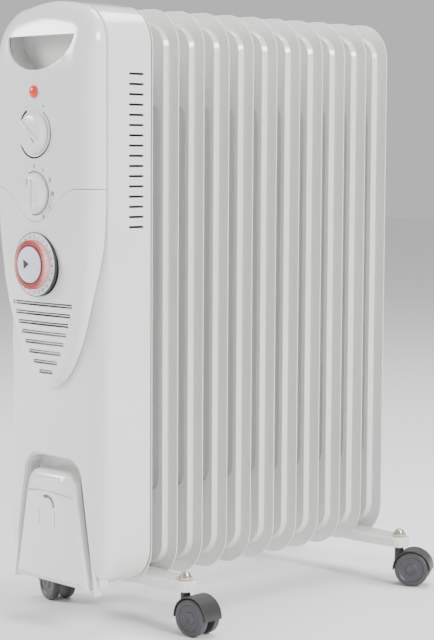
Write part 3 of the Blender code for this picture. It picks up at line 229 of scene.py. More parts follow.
def finish(name, base, shade_share=0.93, rough=0.3, spread=0.12, patch=9.0, grain=900.0,
           relief=0.10, dust=0.06, metallic=0.0, coat=0.0, arcs=()):
    """A material from the shared finish, with printed arcs where the panel has them."""
    if name in bpy.data.materials:
        return bpy.data.materials[name]
    made = bpy.data.materials.new(name)
    made.use_nodes = True
    tree = made.node_tree
    shader = tree.nodes["Principled BSDF"]
    shader.inputs["Metallic"].default_value = metallic
    shader.inputs["Coat Weight"].default_value = coat
    shader.inputs["Coat Roughness"].default_value = 0.08
    look = tree.nodes.new("ShaderNodeGroup")
    look.node_tree = finish_group()
    look.inputs["Base"].default_value = (*base, 1.0)
    look.inputs["Shade"].default_value = (*(value * shade_share for value in base), 1.0)
    for label, value in (("Patch Scale", patch), ("Grain Scale", grain), ("Roughness", rough),
                         ("Spread", spread), ("Relief", relief), ("Dust", dust)):
        look.inputs[label].default_value = value
    colour = look.outputs["Color"]
    for height, radius, half, start, end, taper in arcs:
        arc_mask = tree.nodes.new("ShaderNodeGroup")
        arc_mask.node_tree = ring_group()
        for label, value in (("Height", height), ("Radius", radius), ("Half Width", half),
                             ("Start", math.radians(start)), ("End", math.radians(end)),
                             ("Taper", taper)):
            arc_mask.inputs[label].default_value = value
        ink = tree.nodes.new("ShaderNodeMix")
        ink.data_type = "RGBA"
        ink.inputs["B"].default_value = (0.02, 0.02, 0.022, 1)
        tree.links.new(arc_mask.outputs["Mask"], ink.inputs["Factor"])
        tree.links.new(colour, ink.inputs["A"])
        colour = ink.outputs["Result"]
    tree.links.new(colour, shader.inputs["Base Color"])
    tree.links.new(look.outputs["Roughness"], shader.inputs["Roughness"])
    tree.links.new(look.outputs["Normal"], shader.inputs["Normal"])
    return made


def enamel():
    return finish("warm_enamel", settings().enamel, rough=0.16, spread=0.1, relief=0.10, coat=0.6)


def cover_plastic(printed=False):
    arcs = ((THERMOSTAT_Z, 0.0243, 0.0013, 28, 325, 0.62),
            (SELECTOR_Z, 0.0212, 0.0005, 170, 385, 0.0)) if printed else ()
    return finish("printed_cover" if printed else "moulded_cover", settings().plastic,
                  rough=0.18, coat=0.35, spread=0.08, grain=1500.0, relief=0.06, arcs=arcs)


def steel():
    return finish("zinc_steel", (0.62, 0.62, 0.60), 0.75, 0.32, 0.25, 60.0, 1600.0, 0.3, 0.05, 1.0)


def nickel():
    return finish("dome_nickel", (0.72, 0.66, 0.52), 0.85, 0.22, 0.2, 80.0, 900.0, 0.1, 0.05, 1.0)


def hood_plastic():
    return finish("castor_black", settings().castor, 0.8, 0.33, 0.2, 40.0, 1400.0, 0.25, 0.05)


def wheel_plastic():
    return finish("castor_grey", (0.012, 0.012, 0.013), 0.75, 0.42, 0.2, 60.0, 1100.0, 0.4, 0.12)


def inner_black():
    return finish("inner_black", (0.02, 0.02, 0.02), 0.8, 0.5, 0.2, 50.0, 900.0, 0.3, 0.05)


# ------------------------------------------------------------ mesh tools

def place(name, bm, look, body, replaced=(), slot=None, smooth=38.0, edge=0.0, segments=3):
    """Finish a bmesh as a visible piece that rides on a body."""
    mesh = bpy.data.meshes.new(name)
    bm.to_mesh(mesh)
    bm.free()
    return place_mesh(name, mesh, look, body, replaced, smooth, edge, segments)


def place_mesh(name, mesh, look, body, replaced=(), smooth=38.0, edge=0.0, segments=3):
    mesh.shade_smooth()
    mesh.set_sharp_from_angle(angle=math.radians(smooth))
    mesh.materials.clear()
    mesh.materials.append(look)
    piece = bpy.data.objects.new(name, mesh)
    bpy.context.scene.collection.objects.link(piece)
    if edge:
        rounding = piece.modifiers.new("edges", "BEVEL")
        rounding.width = edge
        rounding.segments = segments
        rounding.limit_method = "ANGLE"
        rounding.angle_limit = math.radians(32)
        rounding.harden_normals = True
    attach(piece, body)
    if replaced:
        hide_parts(*replaced)
    return piece


def arc(centre_x, centre_z, radius, start, end, steps):
    points = []
    for step in range(steps + 1):
        angle = math.radians(start + (end - start) * step / steps)
        points.append((centre_x + radius * math.cos(angle), centre_z + radius * math.sin(angle)))
    return points


def rounded_outline(half, low, high, radius, steps=9):
    inner = half - radius
    return (arc(inner, low + radius, radius, -90, 0, steps)
            + arc(inner, high - radius, radius, 0, 90, steps)
            + arc(-inner, high - radius, radius, 90, 180, steps)
            + arc(-inner, low + radius, radius, 180, 270, steps))


def at_y(outline, y):
    return [(x, y, z) for x, z in outline]


def skin(bm, loops):
    """Quads between sections of matching points; returns the vertices of each section."""
    rings = [[bm.verts.new(point) for point in loop] for loop in loops]
    for first, second in zip(rings, rings[1:]):
        count = len(first)
        for index in range(count):
            after = (index + 1) % count
            bm.faces.new((first[index], first[after], second[after], second[index]))
    return rings


def loft(loops):
    bm = bmesh.new()
    rings = skin(bm, loops)
    bm.faces.new(rings[0])
    bm.faces.new(rings[-1])
    bmesh.ops.recalc_face_normals(bm, faces=bm.faces)
    return bm


def turned(profile, steps, moved=None):
    """A turned solid about Y: profile holds (radius, position) pairs, positive towards -Y."""
    bm = bmesh.new()
    verts = [bm.verts.new((radius, 0.0, along)) for radius, along in profile]
    edges = [bm.edges.new(pair) for pair in zip(verts, verts[1:])]
    bmesh.ops.spin(bm, geom=verts + edges, cent=(0, 0, 0), axis=(0, 0, 1), angle=math.tau,
                   steps=steps, use_merge=True)
    bmesh.ops.remove_doubles(bm, verts=bm.verts, dist=0.00002)
    bmesh.ops.rotate(bm, verts=bm.verts, matrix=Matrix.Rotation(math.pi / 2, 3, "X"))
    bmesh.ops.recalc_face_normals(bm, faces=bm.faces)
    if moved:
        bmesh.ops.transform(bm, matrix=moved, verts=bm.verts)
    return bm


def block(bm, size, middle, round_by=0.0, turn=None):
    """Adds a box with rounded edges."""
    made = bmesh.ops.create_cube(bm, size=1.0)["verts"]
    bmesh.ops.scale(bm, vec=size, verts=made)
    if round_by:
        edges = list({edge for vert in made for edge in vert.link_edges})
        faces = bmesh.ops.bevel(bm, geom=edges, offset=round_by, segments=3, profile=0.5,
                                affect="EDGES", material=-1)["faces"]
        made = list({vert for face in faces for vert in face.verts})
    if turn:
        bmesh.ops.transform(bm, matrix=turn, verts=made)
    bmesh.ops.translate(bm, vec=middle, verts=made)


def cut_out(mesh, cutters):
    """A mesh with other meshes cut out of it, made final at once."""
    subject = bpy.data.objects.new("subject", mesh)
    bpy.context.scene.collection.objects.link(subject)
    tools = []
    for cutter in cutters:
        data = bpy.data.meshes.new("cutter")
        cutter.to_mesh(data)
        cutter.free()
        tool = bpy.data.objects.new("cutter", data)
        bpy.context.scene.collection.objects.link(tool)
        tools.append(tool)
        trim = subject.modifiers.new("trim", "BOOLEAN")
        trim.operation = "DIFFERENCE"
        trim.solver = "EXACT"
        trim.object = tool
    depsgraph = bpy.context.evaluated_depsgraph_get()
    made = bpy.data.meshes.new_from_object(subject.evaluated_get(depsgraph))
    for leftover in [subject, *tools]:
        bpy.data.objects.remove(leftover, do_unlink=True)
    return made


def walled(loops, wall, rise=None):
    """A thin moulding: sections closed at the last one, thickened inwards."""
    bm = bmesh.new()
    rings = skin(bm, loops)
    front = rings[-1]
    bm.faces.new(front)
    opposite = {(round(-vert.co.x, 6), round(vert.co.z, 6)): vert for vert in front}
    pairs = []
    for vert in front:
        partner = opposite.get((round(vert.co.x, 6), round(vert.co.z, 6)))
        if vert.co.x > 0.00002 and partner:
            pairs.append([vert, partner])
    halves = {round(vert.co.z, 6): vert.co.x for vert, _ in pairs}
    crossings = []
    for pair in pairs:
        crossings += bmesh.ops.connect_verts(bm, verts=pair)["edges"]
    if rise:
        made = bmesh.ops.subdivide_edges(bm, edges=crossings, cuts=7)["geom_inner"]
        for point in (item for item in made if isinstance(item, bmesh.types.BMVert)):
            point.co.y -= rise(point.co.x, point.co.z, halves[round(point.co.z, 6)])
    bmesh.ops.recalc_face_normals(bm, faces=bm.faces)
    mesh = bpy.data.meshes.new("moulding")
    bm.to_mesh(mesh)
    bm.free()
    subject = bpy.data.objects.new("moulding", mesh)
    bpy.context.scene.collection.objects.link(subject)
    thick = subject.modifiers.new("wall", "SOLIDIFY")
    thick.thickness = wall
    thick.offset = -1.0
    thick.use_even_offset = True
    depsgraph = bpy.context.evaluated_depsgraph_get()
    made = bpy.data.meshes.new_from_object(subject.evaluated_get(depsgraph))
    bpy.data.objects.remove(subject, do_unlink=True)
    return made


# ------------------------------------------------------------ forms of the housing

def smooth_step(low, high, value):
    share = min(max((value - low) / (high - low), 0.0), 1.0)
    return share * share * (3 - 2 * share)


def crowned_outline(inset, steps=10):
    corner = FIN_CORNER - inset
    inner = HALF_WIDTH - FIN_CORNER
    corner_z = FIN_TOP - FIN_CORNER
    drop = (inner ** 2 - CASE_CROWN ** 2 - 2 * CASE_CROWN * FIN_CORNER) / (2 * CASE_CROWN)
    dome = drop + FIN_CORNER + CASE_CROWN
    dome_z = FIN_TOP + CASE_CROWN - dome
    lean = math.degrees(math.atan2(inner, corner_z - dome_z))
    return (arc(inner, CASE_BOTTOM + FIN_CORNER, corner, -90, 0, steps)
            + arc(inner, corner_z, corner, 0, 90 - lean, steps)
            + arc(0, dome_z, dome - inset, 90 - lean, 90 + lean, 8)[1:-1]
            + arc(-inner, corner_z, corner, 90 + lean, 180, steps)
            + arc(-inner, CASE_BOTTOM + FIN_CORNER, corner, 180, 270, steps))


def with_side_points(outline):
    heights = [0.58 - 0.02 * step for step in range(24)]
    points = []
    for index, (x, z) in enumerate(outline):
        points.append((x, z))
        after_z = outline[(index + 1) % len(outline)][1]
        if abs(z - after_z) > 0.3:
            inside = [h for h in heights if min(z, after_z) + 0.01 < h < max(z, after_z) - 0.002]
            points += [(x, h) for h in sorted(inside, reverse=after_z < z)]
    return points


CASE_ROWS = ((0.0, 0.0, 0.0570), (0.0010, 0.28, 0.0579), (0.0040, 0.56, 0.0585),
             (0.0100, 0.80, 0.0585), (0.0200, 0.93, 0.0585))


def case_depth(inset, z):
    blend = smooth_step(SHIELD_TIP + 0.09, SHIELD_TOP - 0.04, z)
    rise = CASE_FRONT - CASE_SIDE_EDGE
    rows = [(at, CASE_SIDE_EDGE + rise * share, high) for at, share, high in CASE_ROWS]
    for first, second in zip(rows, rows[1:]):
        if inset <= second[0]:
            share = (inset - first[0]) / (second[0] - first[0])
            low = first[1] + (second[1] - first[1]) * share
            high = first[2] + (second[2] - first[2]) * share
            return low + (high - low) * blend
    return rows[-1][1] + (rows[-1][2] - rows[-1][1]) * blend


def panel_depth(z):
    lower = smooth_step(SHIELD_TIP - 0.02, SHIELD_TOP - 0.01, z)
    upper = max(0.0, z - (FIN_TOP - 0.075)) / (0.075 + CASE_CROWN)
    return COVER_TIP + (COVER_FRONT - COVER_CROWN - COVER_TIP) * lower - 0.016 * upper ** 2


def cover_rise(x, z, half):
    fade = 1 - smooth_step(FIN_TOP - 0.060, FIN_TOP - 0.021, z)
    return COVER_CROWN * (half / 0.05) ** 2 * fade * (1 - (x / half) ** 2)


def panel_y(x, z):
    """World Y of the control panel's face."""
    below = max(0.0, SHIELD_TOP - z) / (SHIELD_TOP - SHIELD_TIP)
    half = HALF_WIDTH * math.sqrt(max(0.0, 1 - below ** 2)) - COVER_ROUND
    return ahead(panel_depth(z) + cover_rise(x, z, half))


def cover_outline(inset):
    top = [point for point in crowned_outline(inset) if point[1] > FIN_TOP - FIN_CORNER - 0.001]
    half = HALF_WIDTH - inset
    fall = SHIELD_TOP - SHIELD_TIP - inset
    steps = 27
    right = []
    for step in range(steps):
        angle = math.pi / 2 * (1 - (step + 1) / steps)
        right.append((half * math.cos(angle), SHIELD_TOP - fall * math.sin(angle)))
    right += [(half, 0.443 + 0.0107 * step) for step in range(1, 13)]
    left = [(-x, z) for x, z in reversed(right)]
    return right + top + left + [(0.0, SHIELD_TOP - fall)]


COVER_SHARES = ((0.0, 0.0), (0.03, 0.25), (0.09, 0.50), (0.20, 0.70), (0.34, 0.83), (0.50, 0.915),
                (0.68, 0.965), (0.84, 0.99), (1.0, 1.0))


def seam(shift):
    points = [(0.2, SHIELD_TOP + shift)]
    for step in range(41):
        x = SEAM_HALF * (1 - step / 20)
        fall = (SHIELD_TOP - SEAM_MIDDLE) * (1 + math.cos(math.pi * x / SEAM_HALF)) / 2
        points.append((x, SHIELD_TOP - fall + shift))
    return points + [(-0.2, SHIELD_TOP + shift)]


def through(outline, front=0.12, back=0.03):
    return loft([at_y(outline, ahead(front)), at_y(outline, ahead(back))])


def disc(x, z, radius, steps=48):
    return through(arc(x, z, radius, 0, 360 - 360 / steps, steps - 1))


# ------------------------------------------------------------ pieces

class HEATER_OT_fins(bpy.types.Operator):
    """Build the row of pressed fins with their headers"""
    bl_idname = "heater.fins"
    bl_label = "Fins"

    def execute(self, context):
        strip = (0.053, FIN_BOTTOM + 0.092, FIN_TOP - 0.095, 0.014)
        edge = 0.0155
        half = [(strip[0] - 0.0025, strip[1] + 0.0025, strip[2] - 0.0025, 0.0115, 0.0020),
                (strip[0], strip[1], strip[2], strip[3], 0.0062),
                (HALF_WIDTH - edge - 0.0005, FIN_BOTTOM + edge + 0.0005, FIN_TOP - edge - 0.0005,
                 FIN_CORNER - edge - 0.0005, 0.0062),
                (HALF_WIDTH - FLANGE_BAND, FIN_BOTTOM + FLANGE_BAND, FIN_TOP - FLANGE_BAND,
                 FIN_CORNER - FLANGE_BAND, 0.0006),
                (HALF_WIDTH, FIN_BOTTOM, FIN_TOP, FIN_CORNER, 0.0006)]
        loops = [at_y(rounded_outline(*row[:4]), -row[4]) for row in half]
        loops += [at_y(rounded_outline(*row[:4]), row[4]) for row in reversed(half)]
        for index in range(FIN_COUNT):
            bm = loft(loops)
            reach = FIN_PITCH / 2 - 0.00015
            for label, height in (("lower", FIN_BOTTOM + 0.046), ("upper", FIN_TOP - 0.046)):
                start = 0.0 if index == 0 and label == "upper" else -reach
                end = 0.0 if index == FIN_COUNT - 1 else reach
                made = bmesh.ops.create_cone(bm, cap_ends=True, segments=40, radius1=0.020,
                                             radius2=0.020, depth=end - start)["verts"]
                bmesh.ops.rotate(bm, verts=made, matrix=Matrix.Rotation(math.pi / 2, 3, "X"))
                bmesh.ops.translate(bm, verts=made, vec=(0, (start + end) / 2, height))
            bmesh.ops.translate(bm, verts=bm.verts, vec=(0, FIRST_FIN_Y + index * FIN_PITCH, 0))
            place(f"fin_{index + 1:02d}_enamelled", bm, enamel(), HEATER,
                  [f"fin_{index + 1:02d}"], "fin_enamel", edge=settings().edge * 0.6)
        return {"FINISHED"}


class HEATER_OT_housing(bpy.types.Operator):
    """Build the pressed housing with its vents"""
    bl_idname = "heater.housing"
    bl_label = "Housing"

    def execute(self, context):
        loops = [at_y(with_side_points(crowned_outline(0.0)), ahead(0.0025))]
        for inset in (0.0, 0.0005, 0.0012, 0.0025, 0.0040, 0.0070, 0.0100, 0.0150, 0.0200):
            loops.append([(x, ahead(case_depth(inset, z)), z)
                          for x, z in with_side_points(crowned_outline(inset))])
        window = through(rounded_outline(0.038, 0.304, 0.592, 0.010), 0.09, 0.045)
        recess = through(recess_outline(0.0), 0.09, 0.046)
        vents = bmesh.new()
        for index in range(16):
            block(vents, (0.18, 0.0192, 0.0022), (0, ahead(0.0214), 0.4057 + index * 0.00993), 0.0007)
        pocket = through(scoop_outline(0.0068, 0.0158), 0.09, 0.045)
        mesh = cut_out(walled(loops, 0.0018), [window, pocket, recess, vents])
        place_mesh("housing_pressed", mesh, enamel(), HEATER, ["casing"])
        return {"FINISHED"}


def recess_outline(inset):
    right = arc(0.045 - inset - 0.022, 0.176 - inset - 0.022, 0.022, 12, 90, 10)
    left = [(-x, z) for x, z in reversed(right)]
    return [(0.064 - inset, CASE_BOTTOM - 0.004)] + right + left + [(inset - 0.064, CASE_BOTTOM - 0.004)]


def scoop_outline(margin, rise):
    half = 0.051 + margin
    points = [(-half * math.cos(math.pi * step / 36),
               GRIP_LINE - (0.034 + margin) * math.sin(math.pi * step / 36)) for step in range(37)]
    return points + ([(half, GRIP_LINE + rise), (-half, GRIP_LINE + rise)] if rise else [])


class HEATER_OT_covers(bpy.types.Operator):
    """Build the two moulded covers with the handle, the seam and the louvres"""
    bl_idname = "heater.covers"
    bl_label = "Covers"

    def execute(self, context):
        rim = cover_outline(0.0)
        loops = []
        for at, share in COVER_SHARES:
            loop = []
            for (x, z), (rim_x, rim_z) in zip(cover_outline(COVER_ROUND * at), rim):
                inset = HALF_WIDTH - abs(rim_x) + COVER_WALL + 0.001
                edge = max(COVER_EDGE, case_depth(inset, rim_z) + 0.0016)
                loop.append((x, ahead(edge + (panel_depth(z) - edge) * share), z))
            loops.append(loop)
        upper_cut = through(seam(0.0003) + [(-0.2, CASE_BOTTOM), (0.2, CASE_BOTTOM)])
        lower_cut = through(seam(-0.0003) + [(-0.2, 0.75), (0.2, 0.75)])
        scoop = through(scoop_outline(0.0, 0.0), 0.12, 0.055)
        upper = cut_out(walled(loops, COVER_WALL, cover_rise), [
            upper_cut, scoop, disc(0, LAMP_Z, 0.0051), disc(0, THERMOSTAT_Z, 0.0033),
            disc(0, SELECTOR_Z, 0.0033)])
        place_mesh("upper_cover_moulded", upper, cover_plastic(True), HEATER, ["upper_cover"])
        slots = bmesh.new()
        blades = bmesh.new()
        for index in range(8):
            height = 0.3285 - index * 0.0097
            share = (SHIELD_TOP - height) / 0.199
            half = HALF_WIDTH * math.sqrt(1 - share ** 2) - 0.0085 - 0.012 * share
            block(slots, (2 * half, 0.05, 0.0040), (0, ahead(0.08), height))
            face = panel_y(0, height)
            block(blades, (2 * half + 0.001, 0.004, 0.0010), (0, face + 0.0042, height))
        lower = cut_out(walled(loops, COVER_WALL, cover_rise), [
            lower_cut, slots, disc(0, TIMER_Z, 0.0318, 72)])
        place_mesh("lower_cover_moulded", lower, cover_plastic(), HEATER, ["lower_cover"])
        place("louvre_blades", blades, cover_plastic(), HEATER, slot="cover_plastic")
        return {"FINISHED"}


class HEATER_OT_winder(bpy.types.Operator):
    """Build the domed plate that the cord is wound behind"""
    bl_idname = "heater.winder"
    bl_label = "Cord winder"

    def execute(self, context):
        def outline(inset):
            corner = 0.016 - inset * 0.5
            right = arc(0.0365 - inset - corner, 0.160 - inset - corner, corner, 12, 90, 10)
            left = [(-x, z) for x, z in reversed(right)]
            low = CASE_BOTTOM + inset
            side = [(0.0555 - inset - 0.019 * step / 12, low + 0.098 * step / 12)
                    for step in range(1, 12)]
            mirrored = [(-x, z) for x, z in reversed(side)]
            return [(0.0555 - inset, low)] + side + right + left + mirrored + [(inset - 0.0555, low)]

        loops = [at_y(outline(inset), ahead(depth)) for inset, depth in (
            (0.0, 0.0600), (0.0, 0.0650), (0.0006, 0.0672), (0.0020, 0.0690), (0.0042, 0.0705),
            (0.0070, 0.0715))]
        slits = bmesh.new()
        for x in (-0.012, 0.012):
            block(slits, (0.0014, 0.02, 0.016), (x, ahead(0.073), 0.113), 0.0004)
        arch = arc(0, 0.1245, 0.0122, 0, 120, 16) + arc(0, 0.1245, 0.0088, 120, 0, 16)
        mesh = cut_out(walled(loops, 0.0026, lambda x, z, half: 0.003 * (1 - (x / half) ** 2)),
                       [slits, through(arch, 0.085, 0.068)])
        place_mesh("cord_winder_plate", mesh, cover_plastic(), HEATER, ["cord_winder"])
        outer = recess_outline(0.0003)
        inner = recess_outline(0.0013)
        lip_line = outer + inner[::-1]
        lip = loft([at_y(lip_line, ahead(0.0652)), at_y(lip_line, ahead(0.0570))])
        place("cord_recess_lip", lip, enamel(), HEATER, slot="case_enamel")
        # A thin grey strip along the winder's crease: painted shade standing in for the shadow of the
        # crease, not a colour of the plastic.
        crease = [(x, 0.1405 - 2.6 * x * x) for x in (step * 0.002 for step in range(-19, 20))]
        line = bmesh.new()
        for (x, z), (after_x, after_z) in zip(crease, crease[1:]):
            half = 0.0555 - 0.019 * (z - CASE_BOTTOM) / 0.114
            face = 0.0715 + 0.003 * (1 - (x / half) ** 2)
            block(line, (0.0022, 0.0005, 0.0006), ((x + after_x) / 2, ahead(face), (z + after_z) / 2))
        place("cord_winder_crease_shade", line, finish("crease_painted_shade", (0.42, 0.42, 0.41)), HEATER,
              slot="cover_plastic")
        hub = bmesh.new()
        block(hub, (0.044, 0.0238, 0.052), (0, ahead(0.0608), 0.098), 0.002)
        place("cord_winder_hub", hub, cover_plastic(), HEATER, slot="cover_plastic")
        return {"FINISHED"}


def lettering(rows, surface, thick=0.00012):
    """Figures laid on a surface: rows hold (text, size, x, z, turn in degrees)."""
    bm = bmesh.new()
    for text, size, x, z, turn in rows:
        curve = bpy.data.curves.new("figure", "FONT")
        curve.body = text
        curve.size = size
        curve.align_x = "CENTER"
        curve.align_y = "CENTER"
        curve.resolution_u = 2
        curve.extrude = thick / 2
        source = bpy.data.objects.new("figure", curve)
        bpy.context.scene.collection.objects.link(source)
        depsgraph = bpy.context.evaluated_depsgraph_get()
        mesh = bpy.data.meshes.new_from_object(source.evaluated_get(depsgraph))
        bpy.data.objects.remove(source, do_unlink=True)
        mesh.transform(Matrix.Rotation(math.pi / 2, 4, "X"))
        mesh.transform(Matrix.Rotation(math.radians(turn), 4, "Y"))
        for vert in mesh.vertices:
            at_x, at_z = vert.co.x + x, vert.co.z + z
            vert.co = (at_x, surface(at_x, at_z) + vert.co.y - thick / 2, at_z)
        bm.from_mesh(mesh)
    return bm


class HEATER_OT_controls(bpy.types.Operator):
    """Build the lamp, the knobs, the timer and the printed figures"""
    bl_idname = "heater.controls"
    bl_label = "Controls"

    def execute(self, context):
        for name, z, radius, turn in (("thermostat_knob", THERMOSTAT_Z, 0.0202, 130.0),
                                      ("selector_knob", SELECTOR_Z, 0.0195, 0.0)):
            face = 0.0068
            at = Matrix.Translation((0, panel_y(0, z) - 0.0003, z)) @ Matrix.Rotation(
                math.radians(turn), 4, "Y")
            bm = turned([(0.0, face), (radius - 0.0042, face), (radius - 0.0034, face - 0.0003),
                         (radius - 0.0027, face - 0.0011), (radius - 0.0014, 0.0026),
                         (radius - 0.0006, 0.0020), (radius, 0.0015), (radius, 0.0),
                         (0.003, 0.0), (0.003, -0.012), (0.0, -0.012)], 72)
            block(bm, (0.0056, 0.0042, 2 * (radius - 0.0042)), (0, -face - 0.0001, 0), 0.0009)
            bmesh.ops.transform(bm, matrix=at, verts=bm.verts)
            place(name + "_moulded", bm, cover_plastic(), name, [name], "cover_plastic")
            mark = bmesh.new()
            block(mark, (0.0011, 0.0002, 0.0065), (0, -face - 0.00215, radius - 0.0082))
            bmesh.ops.transform(mark, matrix=at, verts=mark.verts)
            place(name + "_pointer", mark, inner_black(), name)
        lens = turned([(0.0, 0.0030), (0.0015, 0.00292), (0.0032, 0.0024), (0.0048, 0.0015),
                       (0.0058, 0.0008), (0.0060, 0.0004), (0.0060, 0.0), (0.0048, 0.0),
                       (0.0048, -0.008), (0.0, -0.008)], 40,
                      Matrix.Translation((0, panel_y(0, LAMP_Z) - 0.0006, LAMP_Z)))
        lamp = finish("lamp_red", (0.72, 0.035, 0.015), 0.6, 0.12, 0.1, 300.0, 900.0, 0.1, 0.0,
                      coat=0.6)
        place("indicator_lens_domed", lens, lamp, HEATER, ["indicator_lens"], "lamp_red")

        y = panel_y(0, TIMER_Z) - 0.0013
        at = Matrix.Translation((0, y, TIMER_Z))
        white = finish("dial_white", (0.84, 0.84, 0.88), 0.95, 0.25, 0.1, 60.0, 1200.0, 0.05, 0.02)
        dial = turned([(0.0186, 0.0022), (0.0304, 0.0022), (0.0309, 0.0018), (0.0310, 0.0),
                       (0.0045, 0.0), (0.0045, 0.0020), (0.0186, 0.0022)], 96, at)
        place("timer_dial_disc", dial, white, "timer_dial", ["timer_dial"], "dial_white")
        outline = turned([(0.0312, 0.0021), (0.0317, 0.0018), (0.0317, -0.0010),
                          (0.0312, -0.0010), (0.0312, 0.0021)], 96, at)
        place("timer_outline", outline, inner_black(), HEATER)
        pins = bmesh.new()
        for index in range(96):
            angle = math.tau * index / 96
            turn = Matrix.Rotation(angle, 4, "Y")
            made = bmesh.ops.create_cube(pins, size=1.0)["verts"]
            bmesh.ops.scale(pins, vec=(0.00050, 0.0064, 0.0042), verts=made)
            bmesh.ops.translate(pins, vec=(0, -0.0053, 0.0220), verts=made)
            bmesh.ops.transform(pins, matrix=at @ turn, verts=made)
        red = finish("pin_red", (0.60, 0.045, 0.03), 0.75, 0.3, 0.1, 200.0, 1200.0, 0.1, 0.02)
        place("timer_pins", pins, red, "timer_dial", slot="lamp_red", smooth=20)
        rim = turned([(0.0186, 0.0088), (0.0196, 0.0088), (0.0196, 0.0022), (0.0186, 0.0022),
                      (0.0186, 0.0088)], 72, at)
        dark_red = finish("rim_red", (0.26, 0.012, 0.03), 0.75, 0.3, 0.1, 200.0, 1200.0, 0.1, 0.02)
        place("timer_inner_rim", rim, dark_red, "timer_dial", slot="lamp_red")
        body = turned([(0.0196, 0.0080), (0.0236, 0.0080), (0.0239, 0.0076), (0.0239, 0.0022),
                       (0.0196, 0.0022), (0.0196, 0.0080)], 96, at)
        pink = finish("segment_white", (0.82, 0.66, 0.66), 0.9, 0.3, 0.1, 90.0, 1200.0, 0.08, 0.02)
        place("timer_segments", body, pink, "timer_dial", slot="dial_white")
        blue = finish("hub_blue", (0.56, 0.60, 0.72), 0.92, 0.3, 0.1, 90.0, 1200.0, 0.08, 0.02)
        hub = turned([(0.0, 0.0097), (0.0168, 0.0097), (0.0176, 0.0094), (0.0180, 0.0086),
                      (0.0180, 0.0025), (0.0041, 0.0025), (0.0041, -0.010), (0.0, -0.010)], 72, at)
        place("timer_hub_moulded", hub, blue, HEATER, ["timer_hub"], "hub_blue")

        rows = []
        for hour in range(0, 24, 1):
            angle = math.tau * hour / 24
            rows.append((str(hour), 0.0042, 0.0277 * math.sin(angle),
                         TIMER_Z + 0.0277 * math.cos(angle), math.degrees(angle)))
        ink = inner_black()
        place("timer_figures", lettering(rows, lambda _x, _z: y - 0.0022), ink, "timer_dial",
              smooth=20)
        arrow = lettering([("▲", 0.011, -0.005, TIMER_Z, 205)], lambda _x, _z: y - 0.0097)
        place("timer_arrow", arrow, ink, HEATER, smooth=20)
        marks = []
        for index, text in enumerate(("0", "I", "II", "III", "I", "II")):
            angle = math.radians(30 * index)
            marks.append((text, 0.0062, 0.0268 * math.sin(angle),
                          SELECTOR_Z + 0.0268 * math.cos(angle), 0))
        for text, x in (("–", -0.0140), ("+", 0.0140)):
            marks.append((text, 0.0060, x, THERMOSTAT_Z + 0.0255, 0))
        place("printed_marks", lettering(marks, panel_y), ink, HEATER, smooth=20)
        return {"FINISHED"}


